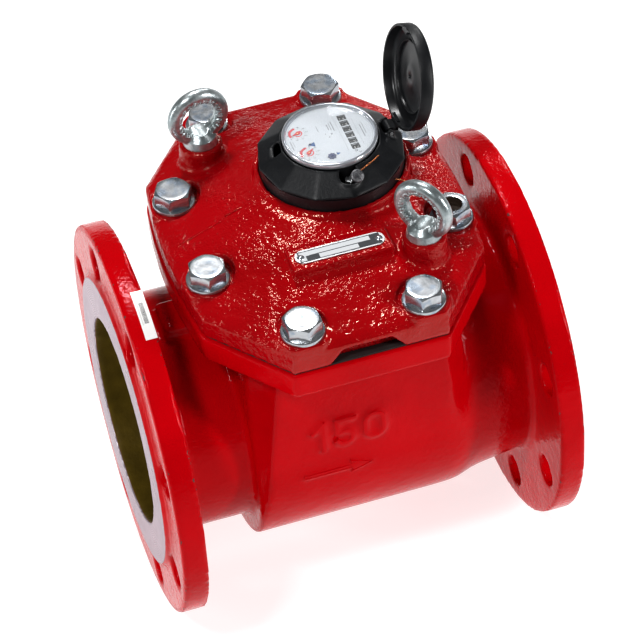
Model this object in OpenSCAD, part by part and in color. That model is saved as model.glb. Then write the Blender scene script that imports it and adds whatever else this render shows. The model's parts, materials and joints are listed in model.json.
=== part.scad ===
// Flanged horizontal bulk water meter with a helical-vane turbine insert.
// Origin: centre of the inlet flange's raised face, on the pipe axis. +X is downstream, +Z is up.

/* [Pipeline flanges] */
// Distance between the two raised faces
face_to_face = 300; // [270:1:360]
// Bore of the pipe and of the meter's ends
pipe_bore_d = 150; // [125:1:180]
// Outside diameter of each flange
flange_d = 285; // [260:1:345]
// Thickness of each flange behind its raised face
flange_t = 18; // [14:1:24]
// Diameter of the raised sealing face
raised_face_d = 212; // [200:1:225]
// Height of the raised sealing face
raised_face_t = 3; // [2:0.5:4]
// Pitch circle of the flange bolt holes
bolt_circle_d = 240; // [230:1:290]
// Diameter of each flange bolt hole
bolt_hole_d = 23; // [18:1:27]
// Number of bolt holes in each flange
bolt_hole_count = 8; // [4:4:12]

/* [Body] */
// Wall of the neck pipes
neck_wall = 11; // [8:0.5:14]
// Wall of the chamber
chamber_wall = 12; // [9:0.5:16]
// Clearance between the insert and the chamber's side walls
insert_clearance = 9; // [6:0.5:14]
// Height of the joint between body and cover above the pipe axis
joint_z = 132; // [120:1:150]
// Thickness of the body's octagonal top flange
top_flange_t = 20; // [16:1:26]
// Height of the cast size number
number_h = 24; // [18:1:30]

/* [Cover] */
// Half length of the cover's straight front and back edges
cover_front_half = 54; // [48:1:58]
// Overhang of the cover's front and back edges beyond the chamber
cover_overhang = 26; // [24:1:34]
// Overhang of the cover's corners beyond the chamber's ends
cover_end_overhang = 22; // [20:1:26]
// Height of the cover's rim
cover_rim_t = 15; // [12:0.5:20]
// Rise of the dome above the rim
dome_rise = 29; // [22:1:34]
// Nominal size of the cover bolts
cover_bolt_d = 16; // [12:1:18]
// Distance of the side bolts beyond the chamber's ends
side_bolt_out = 8.8; // [7:0.1:10]
// Position of the side bolts across the pipe
side_bolt_y = 41.75; // [38:0.25:46]
// Position of the end bolts along the pipe
end_bolt_x = 42.3; // [38:0.1:46]
// Distance of the end bolts beyond the chamber's sides
end_bolt_out = 10.2; // [9:0.1:12]
// Height of the bolt seats above the joint
bolt_seat_h = 21; // [18:0.5:24]

/* [Eyebolts] */
// Height of the eyebolt bosses above the joint
eye_boss_h = 43; // [38:0.5:48]
// Position of the eyebolts along the pipe, from the cover's centre
eye_x = 56.9; // [54:0.1:60]
// Position of the eyebolts across the pipe
eye_y = 73; // [70:0.5:76]
// Outer diameter of the lifting ring
eye_ring_d = 45; // [40:1:50]
// Thickness of the lifting ring
eye_wire_d = 10; // [8:0.5:12]

/* [Metering insert] */
// Wall of the insert's tube, at its end rings
insert_wall = 6; // [5:0.5:8]
// Length of the insert
insert_len = 128; // [120:1:130]
// Diameter of the hub body in the middle of the flow
hub_d = 60; // [52:1:64]
// Gap between rotor blade tips and the insert's bore
tip_gap = 1.5; // [1:0.1:3]
// Number of helical blades
blade_count = 6; // [4:1:8]
// Length of the rotor
rotor_len = 38; // [32:1:40]
// Advance of the blades in one turn
blade_lead = 350; // [260:10:420]
// Number of straightener vanes, one of which turns
vane_count = 6; // [4:1:8]
// Module of the worm drive
worm_module = 1; // [1:0.05:1.05]
// Teeth of the worm wheel
worm_teeth = 20; // [20:1:21]

/* [Register] */
// Distance of the register downstream of the cover's centre
register_dx = 20.3; // [16:0.1:24]
// Height of the register seat above the joint
seat_h = 46.5; // [44:0.5:50]
// Outer diameter of the register's base ring
base_ring_d = 100; // [96:0.5:104]
// Number of facets round the shroud
shroud_facets = 12; // [12:12:12]
// Height of the dial above the joint
dial_h = 70; // [68:0.5:74]
// Outer diameter of the lens ring
lens_d = 66; // [60:0.5:72]

/* [Lid] */
// Depth of the lid
lid_depth = 10; // [9:0.5:12]
// Angle that the lid stands open, from closed
lid_open = 101.3; // [0:0.1:110]

/* [Hidden] */

$fn = 64;
eps = 0.01;
// Radial play of a shaft in its bearing, and the gap between a moving piece and a fixed one
running_gap = 0.05;
open_gap = 0.3;

// Colours
paint = "#c4000c";
zinc = "#c9ced2";
black_plastic = "#26292b";
grey_plastic = "#8f979c";
white_plastic = "#e8e8e4";
blue_plastic = "#2f5f9e";
brass = "#b08d4a";
steel = "#b9bdc0";
copper = "#b5713a";

// Body and cover
mid_x = face_to_face / 2;
bore_r = pipe_bore_d / 2;
neck_r = bore_r + neck_wall;
flange_in = raised_face_t + flange_t;
insert_r = bore_r + insert_wall;
cavity_r = insert_r + insert_clearance;
seal_t = 2;
cavity_len = insert_len + 2 * seal_t;
cavity_corner_r = 8;
chamber_half_w = cavity_r + chamber_wall;
chamber_len = cavity_len + 2 * chamber_wall;
chamber_x0 = mid_x - chamber_len / 2;
chamber_x1 = mid_x + chamber_len / 2;
cover_half_w = chamber_half_w + cover_overhang;
cover_half_l = chamber_len / 2 + cover_end_overhang;
side_bolt_x = chamber_len / 2 + side_bolt_out;
end_bolt_y = chamber_half_w + end_bolt_out;
gasket_t = 1.5;
gasket_inset = 1.5;
body_top = joint_z - gasket_t;
seat_z = joint_z + bolt_seat_h;
side_bow = 6;
// Outlet cone, from the chamber to the back of the outlet flange
cone_x0 = chamber_x1 - 30;
cone_x1 = face_to_face - flange_in + eps;
cone_end_r = neck_r + 5;
bolt_hole_r = cover_bolt_d / 2 + 1;
washer_t = 3;
washer_r = cover_bolt_d * 0.94;
bolt_head_h = cover_bolt_d * 0.625;
bolt_af = cover_bolt_d * 1.5;
bolt_len = 40;
seat_pocket_r = washer_r + 3.5;
eye_boss_z = joint_z + eye_boss_h;
eye_thread_r = 5;

// Register stack, all heights above the pipe axis
seat_d = base_ring_d + 8;
shroud_d = base_ring_d + 4;
shroud_top_d = lens_d + 4;
worm_centres = worm_module * (worm_teeth + 10) / 2;
reg_x = mid_x + register_dx;
reg_y = worm_centres;
seat_top = joint_z + seat_h;
seat_floor = joint_z + 38;
cover_ceiling = joint_z + 28;
dial_z = joint_z + dial_h;
dial_t = 0.8;
can_r = lens_d / 2 - 0.2;
can_wall = 1.5;
can_z0 = seat_floor + 0.3;
can_z1 = dial_z - 1.6;
lens_r = lens_d / 2;
shroud_z0 = seat_top + 8.5;
shroud_z1 = dial_z - 1.5;
lens_z1 = dial_z + 2.4;

// Insert, measured along the pipe
insert_x0 = mid_x - insert_len / 2;
insert_x1 = mid_x + insert_len / 2;
hub_r = hub_d / 2;
rotor_x1 = reg_x - 11;
rotor_x0 = rotor_x1 - rotor_len;
blade_r = bore_r - tip_gap;
straightener_x1 = rotor_x0 - 2;
rear_x0 = rotor_x1 + 1;
rear_x1 = insert_x1 - 3;
shaft_r = 2;
stem_r = 1.5;
worm_pitch_r = worm_module * 5;
worm_pitch = PI * worm_module;
worm_len = 4 * worm_pitch;
wheel_pitch_r = worm_module * worm_teeth / 2;
wheel_t = 3;
gear_room_r = wheel_pitch_r + worm_module + 0.8;
saddle_top = insert_r + 6;
head_t = 5;
head_flange_z = cover_ceiling - head_t;
head_flange_r = 46;
head_neck_r = 34.5;
column_r = 14;
magnet_r = 12;
magnet_t = 6;
magnet_z = cover_ceiling + 0.8;
membrane_t = 2.2;

// Register train, scaled with the lens: positions from the register's centre
train_scale = lens_d / 66;
pinion_teeth = 16;
transfer_teeth = 28;
train_module = 0.5 * train_scale;
first_module = 0.35 * train_scale;
second_module = 0.45 * train_scale;
hundredths_pos = train_scale * [-18.5, -11.9];
tenths_pos = train_scale * [-20, 10];
star_pos = train_scale * [-5, -20.91];
drum_count = 6;
drum_pitch = 6.3 * train_scale;
drum_x = 13.3 * train_scale;
drum_y0 = -15.75 * train_scale;
drum_r = 5;
drum_w = drum_pitch - 0.5;
drum_z = dial_z - dial_t - 0.6 - drum_r;
gear_floor = can_z0 + 7;

gear_floor_t = 1.2;
spindle_r = 0.6;
level_a = gear_floor + gear_floor_t + 0.3;
level_b = level_a + 2.6;
level_c = level_b + 2.2;
level_d = level_c + 1.9;
first_pinion = 10;
first_wheel = 50;
second_pinion = 17;
second_wheel = 34;
star_wheel_teeth = 56;
star_teeth = 30;
drum_row = (drum_count - 1) * drum_pitch + drum_w;
drum_mid = drum_y0 + (drum_count - 1) * drum_pitch / 2;
transfer_pos = hundredths_pos / 2;

// Where the reduction wheel meshes both the hundredths pinion and the tenths wheel
first_centres = first_module * (first_pinion + first_wheel) / 2;
second_centres = second_module * (second_pinion + second_wheel) / 2;
ab = tenths_pos - hundredths_pos;
along_ab = (norm(ab) ^ 2 + first_centres ^ 2 - second_centres ^ 2) / (2 * norm(ab));
off_ab = sqrt(max(0, first_centres ^ 2 - along_ab ^ 2));
unit_ab = ab / norm(ab);
reduction_pos = hundredths_pos + along_ab * unit_ab + off_ab * [unit_ab[1], -unit_ab[0]];
line_ar = atan2(reduction_pos[1] - hundredths_pos[1], reduction_pos[0] - hundredths_pos[0]);
line_rb = atan2(tenths_pos[1] - reduction_pos[1], tenths_pos[0] - reduction_pos[0]);
star_line = atan2(star_pos[1], star_pos[0]);
star_turn = star_line;

// Phases that bring a tooth of one wheel into a gap of the next at rest
line_ca = atan2(hundredths_pos[1], hundredths_pos[0]);
function gap_against(tooth_turn, teeth, line, other_teeth) =
    let (phase = (line - tooth_turn) * teeth / 360)
    line + 180 + (phase + 0.5) * 360 / other_teeth;
transfer_turn = gap_against(0, pinion_teeth, line_ca, transfer_teeth);
hundredths_turn = gap_against(transfer_turn, transfer_teeth, line_ca, pinion_teeth);

// Nameplate, register fittings and wires
plate_y = -64.5;
plate_z = joint_z + 41;
pad_size = [70, 22];
vane_x = insert_x0 + 16;
membrane_z = seat_floor - membrane_t;
seal_angle = -88;
latch_angle = 172;
tongue_drop = 2.2;
screw_r = 37.5;
screw_len = 28;
seal_pos = [5.42, -42.87, 199.1];
wire_r = 0.5;
seal_route = [[6.2, -42, 199.3], [9, -38.8, 199.2], [13, -36.6, 199.7], [17.2, -34.3, 199.8], [21.5, -31.4, 199.6],
    [25.4, -28.2, 199.4]];
bolt_route = [[33.9, -37.5, 183], [37, -41, 184], [42, -45, 181.5], [48, -50, 177], [54, -54, 172],
    [59, -56, 168.4], [62, -56.6, 167], [64.2, -56.7, 163.5], [64.8, -56.7, 160.6]];

// Lid and hinge: the pin lies beside the lid's rim
lid_r = shroud_top_d / 2 + 1.6;
hinge_dx = lid_r + 4.9;
hinge_z = dial_z - 4.6;
lid_rim_z = shroud_z1 + open_gap;
hinge_x = reg_x + hinge_dx;
pin_r = 1.25;

// Octagonal outline with its bowed sides: grow moves the edge outwards
function octagon(grow) =
    let (fx = cover_front_half + grow * 0.4, fy = cover_half_w + grow)
    let (cx = cover_half_l + grow, cy = 71 + grow * 0.4)
    let (side = [for (t = [-1:0.25:1]) [cx + side_bow * (1 - t * t), t * cy]])
    concat([[fx, -fy]], side, [[fx, fy], [-fx, fy]], [for (i = [8:-1:0]) [-side[i][0], side[i][1]]], [[-fx, -fy]]);

module octagon_plate(z0, z1, grow = 0) {
    translate([mid_x, 0, z0]) linear_extrude(z1 - z0) polygon(octagon(grow));
}

module at_cover_bolts(which = [0:7]) {
    spots = [[side_bolt_x, side_bolt_y], [end_bolt_x, end_bolt_y], [-end_bolt_x, end_bolt_y],
        [-side_bolt_x, side_bolt_y], [-side_bolt_x, -side_bolt_y], [-end_bolt_x, -end_bolt_y],
        [end_bolt_x, -end_bolt_y], [side_bolt_x, -side_bolt_y]];
    for (i = which) translate([mid_x + spots[i][0], spots[i][1], 0]) children();
}

module along_x(x0, x1, r0, r1 = -1) {
    translate([x0, 0, 0]) rotate([0, 90, 0]) cylinder(h = x1 - x0, r1 = r0, r2 = r1 < 0 ? r0 : r1);
}

module tube_x(x0, x1, outer, inner) {
    difference() {
        along_x(x0, x1, outer);
        along_x(x0 - 1, x1 + 1, inner);
    }
}

module at_register() {
    translate([reg_x, reg_y, 0]) children();
}

// Hexagon bolt with its seat at z = 0
module hex_bolt(length, drilled = false) {
    difference() {
        union() {
            intersection() {
                cylinder(h = bolt_head_h, r = bolt_af / sqrt(3), $fn = 6);
                cylinder(h = bolt_head_h, r1 = bolt_af / 2 + bolt_head_h, r2 = bolt_af / 2);
            }
            translate([0, 0, -length]) cylinder(h = length + eps, r = cover_bolt_d / 2 - 0.15);
        }
        if (drilled) {
            translate([0, 0, bolt_head_h - 6]) cylinder(h = 7, r = 7.5);
            translate([0, 0, 3.5]) rotate([90, 0, 15]) cylinder(h = 40, r = 1, center = true);
        }
    }
}

// One flange with its raised face at x = 0, pointing along -X
module flange() {
    rotate([0, 90, 0]) difference() {
        union() {
            cylinder(h = raised_face_t + eps, r = raised_face_d / 2);
            translate([0, 0, raised_face_t]) cylinder(h = flange_t, r = flange_d / 2);
            translate([0, 0, flange_in - eps]) cylinder(h = 8, r1 = neck_r + 8, r2 = neck_r);
        }
        for (i = [0:bolt_hole_count - 1])
            rotate([0, 0, (i + 0.5) * 360 / bolt_hole_count])
                translate([bolt_circle_d / 2, 0, -1]) cylinder(h = flange_in + 12, r = bolt_hole_d / 2);
    }
}

// Outline of the chamber across the pipe: straight sides, set in a little, over a round bottom
module chamber_section(r, top) {
    side = r - 0.6;
    circle(r = r);
    translate([-side, 0]) square([2 * side, top]);
}

module rounded_slab(lx, ly, r) {
    square([lx - 2 * r, ly], center = true);
    square([lx, ly - 2 * r], center = true);
    for (sx = [-1, 1], sy = [-1, 1]) translate([sx * (lx / 2 - r), sy * (ly / 2 - r)]) circle(r = r);
}

module chamber_solid(x0, x1, r, top) {
    translate([x0, 0, 0]) rotate([90, 0, 90]) linear_extrude(x1 - x0) chamber_section(r, top);
}

// Raised stroke of the cast marks, drawn in the plane of the chamber's front
module stroke(a, b, w) {
    d = b - a;
    translate(a) rotate(atan2(d[1], d[0])) translate([-w / 2, -w / 2]) square([norm(d) + w, w]);
}

module size_number() {
    h = number_h;
    w = h * 0.17;
    stroke([0, 0], [0, h], w);
    stroke([0, h], [-h * 0.28, h * 0.74], w);
    translate([h * 0.42, 0]) {
        stroke([0, h], [h * 0.5, h], w);
        stroke([0, h], [0, h * 0.55], w);
        translate([h * 0.22, h * 0.29]) difference() {
            circle(r = h * 0.33);
            circle(r = h * 0.33 - w);
            translate([-h, -w]) square([h * 0.94, h * 0.36]);
        }
    }
    translate([h * 1.55, h / 2]) difference() {
        union() {
            translate([0, h * 0.17]) circle(r = h * 0.36);
            translate([0, -h * 0.17]) circle(r = h * 0.36);
            square([h * 0.72, h * 0.34], center = true);
        }
        translate([0, h * 0.17]) circle(r = h * 0.36 - w);
        translate([0, -h * 0.17]) circle(r = h * 0.36 - w);
        square([h * 0.72 - 2 * w, h * 0.34], center = true);
    }
}

module flow_arrow() {
    stroke([0, 0], [32, 0], 3);
    polygon([[34, 5], [48, 0], [34, -5]]);
}

// Planes that flatten the chamber's four upright corners, leaning inwards at the top
module chamber_corner_cuts() {
    reach = (chamber_half_w + chamber_len / 2 - 18) / sqrt(2);
    for (a = [45:90:315]) translate([mid_x, 0, 89]) rotate([0, 0, a])
        translate([reach, -80, 0]) rotate([0, -4.6, 0]) translate([0, 0, -300]) cube([80, 160, 400]);
}

module body_casting() {
    color(paint) difference() {
        union() {
            flange();
            translate([face_to_face, 0, 0]) mirror([1, 0, 0]) flange();
            along_x(flange_in - eps, face_to_face - flange_in + eps, neck_r);
            difference() {
                intersection() {
                    chamber_solid(chamber_x0, chamber_x1, chamber_half_w, body_top - 1);
                    translate([mid_x, 0, -200]) linear_extrude(400)
                        rounded_slab(chamber_len, 2 * chamber_half_w, 10);
                }
                chamber_corner_cuts();
            }
            along_x(cone_x0, cone_x1, chamber_half_w - 0.4, cone_end_r);
            octagon_plate(body_top - top_flange_t, body_top, 1);
            // Lug on top of the inlet neck
            translate([flange_in + 14, -18, neck_r - 8]) cube([24, 30, 16]);
            translate([mid_x - 45, -chamber_half_w, 0]) rotate([90, 0, 0]) {
                translate([14, 27, -1]) linear_extrude(2.5) size_number();
                translate([0, 4, -1]) linear_extrude(2.5) flow_arrow();
            }
        }
        along_x(-1, face_to_face + 1, bore_r);
        intersection() {
            chamber_solid(mid_x - cavity_len / 2, mid_x + cavity_len / 2, cavity_r, joint_z + 1);
            translate([mid_x, 0, -200]) linear_extrude(400)
                rounded_slab(cavity_len, 2 * cavity_r, cavity_corner_r);
        }
        at_cover_bolts() translate([0, 0, body_top - top_flange_t - 1])
            cylinder(h = top_flange_t + 2, r = cover_bolt_d / 2);
    }
}

module cover_gasket() {
    color("#3a3a38") difference() {
        octagon_plate(body_top, joint_z, -gasket_inset);
        translate([mid_x, 0, body_top - 1]) linear_extrude(gasket_t + 2)
            rounded_slab(cavity_len, 2 * cavity_r, cavity_corner_r);
        at_cover_bolts() translate([0, 0, body_top - 1]) cylinder(h = gasket_t + 2, r = bolt_hole_r);
    }
}

// Dome of the cover: from its rim to a round top
module cover_dome() {
    hull() {
        octagon_plate(joint_z, joint_z + cover_rim_t, 0);
        octagon_plate(joint_z + cover_rim_t, joint_z + cover_rim_t + 4, -4);
        translate([mid_x, 0, joint_z]) cylinder(h = cover_rim_t + dome_rise, r = 36, $fn = 48);
    }
}

module cover_casting() {
    color(paint) difference() {
        union() {
            difference() {
                cover_dome();
                at_cover_bolts() translate([0, 0, seat_z]) cylinder(h = 60, r = seat_pocket_r);
            }
            at_cover_bolts() translate([0, 0, joint_z]) intersection() {
                cylinder(h = bolt_seat_h, r = seat_pocket_r);
                translate([-50, -50, 0]) cube([100, 100, 100]);
            }
            at_register() translate([0, 0, joint_z]) cylinder(h = seat_h, r = seat_d / 2);
            for (s = [-1, 1]) translate([mid_x + s * eye_x, -s * eye_y, joint_z])
                cylinder(h = eye_boss_h, r1 = 18.5, r2 = 15);
            translate([mid_x - pad_size[0] / 2, plate_y - pad_size[1] / 2, joint_z])
                cube([pad_size[0], pad_size[1], plate_z - joint_z]);
            // Parting line of the casting, a thin raised bead up the dome
            translate([mid_x - 97, -1, joint_z]) rotate([0, -19, 0]) translate([6, 0, 0]) cube([48, 2, 17.8]);
        }
        // Nothing reaches past the octagon
        difference() {
            translate([mid_x - 200, -200, joint_z - 1]) cube([400, 400, 100]);
            octagon_plate(joint_z - 2, joint_z + 120, 0);
        }
        // Hollow under the dome
        translate([mid_x, 0, joint_z - 1]) cylinder(h = cover_ceiling - joint_z + 1, r1 = 66, r2 = 52);
        at_register() {
            translate([0, 0, joint_z - 1]) cylinder(h = cover_ceiling - joint_z + 1, r = head_flange_r + 1);
            translate([0, 0, joint_z]) cylinder(h = 100, r = head_neck_r + 0.3);
            translate([0, 0, seat_floor]) cylinder(h = 100, r = base_ring_d / 2 + 0.3);
            for (a = [45:90:315]) rotate([0, 0, a]) translate([head_flange_r - 6, 0, cover_ceiling - 1])
                cylinder(h = 9, r = 2.5);
            rotate([0, 0, seal_angle]) translate([screw_r, 0, seat_floor - 8]) cylinder(h = 10, r = 1.9);
        }
        at_cover_bolts() translate([0, 0, joint_z - 1]) cylinder(h = 60, r = bolt_hole_r);
        for (s = [-1, 1]) translate([mid_x + s * eye_x, -s * eye_y, eye_boss_z - 18])
            cylinder(h = 19, r = eye_thread_r);
        // Pry notch in the front skirt
        translate([mid_x - 2.5, -cover_half_w - 1, joint_z - 1]) rotate([-90, 0, 0]) linear_extrude(9)
            polygon([[-27, 0], [27, 0], [17, -12], [-17, -12]]);
        for (s = [-1, 1]) translate([mid_x + s * 27.5, plate_y, plate_z - 8]) cylinder(h = 9, r = 1.6);
    }
}

module cover_bolts() {
    color(zinc) at_cover_bolts([0:6]) translate([0, 0, seat_z + washer_t]) rotate([0, 0, 12]) hex_bolt(bolt_len);
}

module seal_bolt() {
    color(zinc) at_cover_bolts([7]) translate([0, 0, seat_z + washer_t]) rotate([0, 0, 25]) hex_bolt(bolt_len, true);
}

module cover_washers() {
    color(zinc) at_cover_bolts() translate([0, 0, seat_z]) difference() {
        cylinder(h = washer_t, r = washer_r);
        translate([0, 0, -1]) cylinder(h = washer_t + 2, r = cover_bolt_d / 2 + 0.5);
    }
}

module eyebolt(turn) {
    collar_h = 6;
    mean_r = (eye_ring_d - eye_wire_d) / 2;
    color(steel) rotate([0, 0, turn]) {
        difference() {
            union() {
                cylinder(h = collar_h, r1 = 12.5, r2 = 11.5);
                translate([0, 0, -17]) cylinder(h = 17 + eps, r = eye_thread_r - 0.1);
                translate([0, 0, mean_r + eye_wire_d / 2]) rotate([90, 0, 0])
                    rotate_extrude() translate([mean_r, 0]) circle(r = eye_wire_d / 2, $fn = 32);
                translate([0, 0, collar_h - eps]) cylinder(h = 5, r1 = 11.5, r2 = 6.5);
            }
            translate([0, 0, mean_r + eye_wire_d / 2]) rotate([90, 0, 0])
                cylinder(h = 40, r = mean_r - eye_wire_d / 2, center = true);
        }
    }
}

module eyebolts() {
    translate([mid_x - eye_x, eye_y, eye_boss_z]) eyebolt(8);
    translate([mid_x + eye_x, -eye_y, eye_boss_z]) eyebolt(-52);
}

module nameplate() {
    color(zinc) translate([mid_x, plate_y, plate_z]) linear_extrude(0.8) difference() {
        union() {
            square([50, 13], center = true);
            for (s = [-1, 1]) translate([s * 25, 0]) circle(r = 6.5);
        }
        for (s = [-1, 1]) translate([s * 27.5, 0]) circle(r = 1.6);
    }
}

module nameplate_rivets() {
    color(zinc) for (s = [-1, 1]) translate([mid_x + s * 27.5, plate_y, plate_z + 0.8]) {
        intersection() {
            translate([0, 0, -2.2]) sphere(r = 3.4);
            cylinder(h = 3, r = 3);
        }
        translate([0, 0, -7]) cylinder(h = 7 + eps, r = 1.5);
    }
}

// Blank adhesive label lying on the inlet flange's rim
module flange_label() {
    color("white") intersection() {
        translate([raised_face_t, 0, 0]) rotate([0, 90, 0]) difference() {
            cylinder(h = flange_t, r = flange_d / 2 + 0.25, $fn = 180);
            translate([0, 0, -1]) cylinder(h = flange_t + 2, r = flange_d / 2 + 0.01, $fn = 180);
        }
        translate([flange_in - 8.3, -flange_d * 0.2075, 0]) cube([8.3, 37.2, flange_d]);
    }
}

// Metering insert
module insert_housing() {
    color(grey_plastic) difference() {
        union() {
            tube_x(insert_x0, insert_x1, insert_r - 1, bore_r + 0.01);
            for (x = [insert_x0, insert_x1 - 5]) along_x(x, x + 5, insert_r);
            // Saddle that carries the column under the cover
            translate([reg_x - 24, reg_y - 22, bore_r - 6]) cube([48, 44, saddle_top - bore_r + 6]);
        }
        along_x(insert_x0 - 1, insert_x1 + 1, bore_r);
        at_register() {
            translate([0, 0, bore_r - 10]) cylinder(h = 40, r = stem_r + 1.5);
            for (sx = [-1, 1], sy = [-1, 1]) translate([sx * 17, sy * 15, saddle_top - 8]) cylinder(h = 9, r = 2);
        }
    }
}

module insert_seals() {
    color("#202020") {
        tube_x(insert_x0 - seal_t, insert_x0, bore_r + 5, bore_r);
        tube_x(insert_x1, insert_x1 + seal_t, bore_r + 5, bore_r);
    }
}

module hub_vane(x0, x1, r0, r1, t) {
    translate([x0, -t / 2, r0]) cube([x1 - x0, t, r1 - r0]);
}

module flow_straightener() {
    ring_x0 = insert_x0 + 1;
    color(grey_plastic) difference() {
        union() {
            tube_x(ring_x0, straightener_x1 - 4, bore_r - 0.05, bore_r - 2.5);
            along_x(insert_x0 + 10, straightener_x1, hub_r);
            intersection() {
                translate([insert_x0 + 10, 0, 0]) sphere(r = hub_r);
                along_x(insert_x0 - 22, insert_x0 + 10 + eps, hub_r);
            }
            for (i = [1:vane_count - 1]) rotate([i * 360 / vane_count, 0, 0])
                hub_vane(insert_x0 + 3, straightener_x1 - 5, hub_r - 2, bore_r - 1.5, 3);
        }
        // Seat of the front bearing
        along_x(straightener_x1 - 8, straightener_x1 + 1, 5);
        // Pivot holes of the turning vane
        translate([vane_x, 0, hub_r - 6]) cylinder(h = 7, r = 2 + running_gap);
        translate([vane_x, 0, bore_r - 4]) cylinder(h = 6, r = 2 + running_gap);
    }
}

// The turning vane with its pivots
module regulator_vane() {
    color(brass) {
        translate([vane_x - 9, -1.25, hub_r + 0.6]) cube([20, 2.5, bore_r - 3 - hub_r - 1.2]);
        translate([vane_x, 0, hub_r - 5]) cylinder(h = bore_r - 0.3 - hub_r + 5, r = 2);
    }
}

module front_bearing() {
    color(brass) tube_x(straightener_x1 - 8, straightener_x1, 5, shaft_r + running_gap);
}

module rotor() {
    color(white_plastic) {
        tube_x(rotor_x0, rotor_x1, hub_r - 1, shaft_r + 0.01);
        for (i = [0:blade_count - 1]) rotate([i * 360 / blade_count, 0, 0])
            translate([rotor_x0 + 1, 0, 0]) rotate([0, 90, 0])
                linear_extrude(rotor_len - 2, twist = -360 * (rotor_len - 2) / blade_lead, slices = 12)
                    translate([-blade_r, -1.2]) square([blade_r - hub_r + 2.5, 2.4]);
    }
}

module rotor_shaft() {
    color(steel) along_x(straightener_x1 - 7.5, reg_x + worm_len / 2 + 9, shaft_r);
}

// Right-handed single-start worm with its thread on the wheel's side at the wheel's axis
module worm() {
    crest = worm_pitch_r + 0.9 * worm_module;
    root = worm_pitch_r - 1.25 * worm_module;
    profile = [for (i = [0:23])
        let (u = abs(i - 12) / 24, k = min(1, max(0, (0.31 - u) / 0.19)))
        (root + (crest - root) * k) * [cos(90 + (i - 12) * 15), sin(90 + (i - 12) * 15)]];
    color(brass) translate([reg_x, 0, 0]) rotate([0, 90, 0]) difference() {
        linear_extrude(worm_len, center = true, twist = -360 * worm_len / worm_pitch, slices = 64) polygon(profile);
        cylinder(h = worm_len + 2, r = shaft_r + 0.01, center = true);
    }
}

module rear_bridge() {
    color(grey_plastic) difference() {
        union() {
            along_x(rear_x0, reg_x + 16, hub_r);
            along_x(reg_x + 16 - eps, rear_x1, hub_r, 12);
            tube_x(reg_x + 4, rear_x1, bore_r - 0.05, bore_r - 2.5);
            for (a = [120, 240]) rotate([a, 0, 0]) hub_vane(reg_x + 5, rear_x1 - 14, hub_r - 5, bore_r - 1.5, 4);
            // Hollow strut that guides the upright shaft
            translate([reg_x - 8, reg_y - 4, 20]) cube([34, 8, bore_r - 24]);
        }
        // Room for worm and wheel
        along_x(rear_x0 - 1, reg_x + worm_len / 2 + 1.5, worm_pitch_r + worm_module + 0.8);
        at_register() {
            translate([0, 0, -wheel_t / 2 - 1]) cylinder(h = wheel_t + 2, r = gear_room_r);
            translate([0, 0, -10]) cylinder(h = 12, r = 4);
            cylinder(h = 90, r = stem_r + 1);
        }
        // Seat of the rear bearing
        along_x(reg_x, reg_x + worm_len / 2 + 11, 4);
    }
}

module rear_bearing() {
    color(brass) tube_x(reg_x + worm_len / 2 + 3, reg_x + worm_len / 2 + 11, 4, shaft_r + running_gap);
}

// Gear outline with straight-flanked teeth and a tooth on the +X axis unless turned
module gear_outline(teeth, m, turn = 0) {
    tip = m * (teeth / 2 + 0.85);
    root = m * (teeth / 2 - 1.2);
    step = 360 / teeth;
    polygon([for (i = [0:teeth - 1]) let (a = turn + i * step)
        each [root * [cos(a - step * 0.31), sin(a - step * 0.31)], tip * [cos(a - step * 0.11), sin(a - step * 0.11)],
            tip * [cos(a + step * 0.11), sin(a + step * 0.11)], root * [cos(a + step * 0.31), sin(a + step * 0.31)]]]);
}

module spur_gear(teeth, m, t, bore, turn = 0) {
    difference() {
        linear_extrude(t) gear_outline(teeth, m, turn);
        translate([0, 0, -1]) cylinder(h = t + 2, r = bore);
    }
}

module worm_wheel() {
    // A tooth gap faces the worm at rest
    color(white_plastic) at_register() translate([0, 0, -wheel_t / 2])
        spur_gear(worm_teeth, worm_module, wheel_t, stem_r + 0.01, -90 + 180 / worm_teeth);
}

module transmission_shaft() {
    color(steel) at_register() translate([0, 0, -9.5]) cylinder(h = magnet_z + magnet_t + 9, r = stem_r);
}

module lower_shaft_bearing() {
    color(brass) at_register() translate([0, 0, -10]) difference() {
        cylinder(h = 7, r = 4);
        translate([0, 0, -1]) cylinder(h = 9, r = stem_r + running_gap);
    }
}

module upper_shaft_bearing() {
    color(brass) at_register() translate([0, 0, head_flange_z - 6]) difference() {
        cylinder(h = 6, r = 5);
        translate([0, 0, -1]) cylinder(h = 8, r = stem_r + running_gap);
    }
}

module driver_magnet() {
    color("#3b3b3e") at_register() translate([0, 0, magnet_z]) difference() {
        cylinder(h = magnet_t, r = magnet_r);
        translate([0, 0, -1]) cylinder(h = magnet_t + 2, r = stem_r + 0.01);
    }
}

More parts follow.
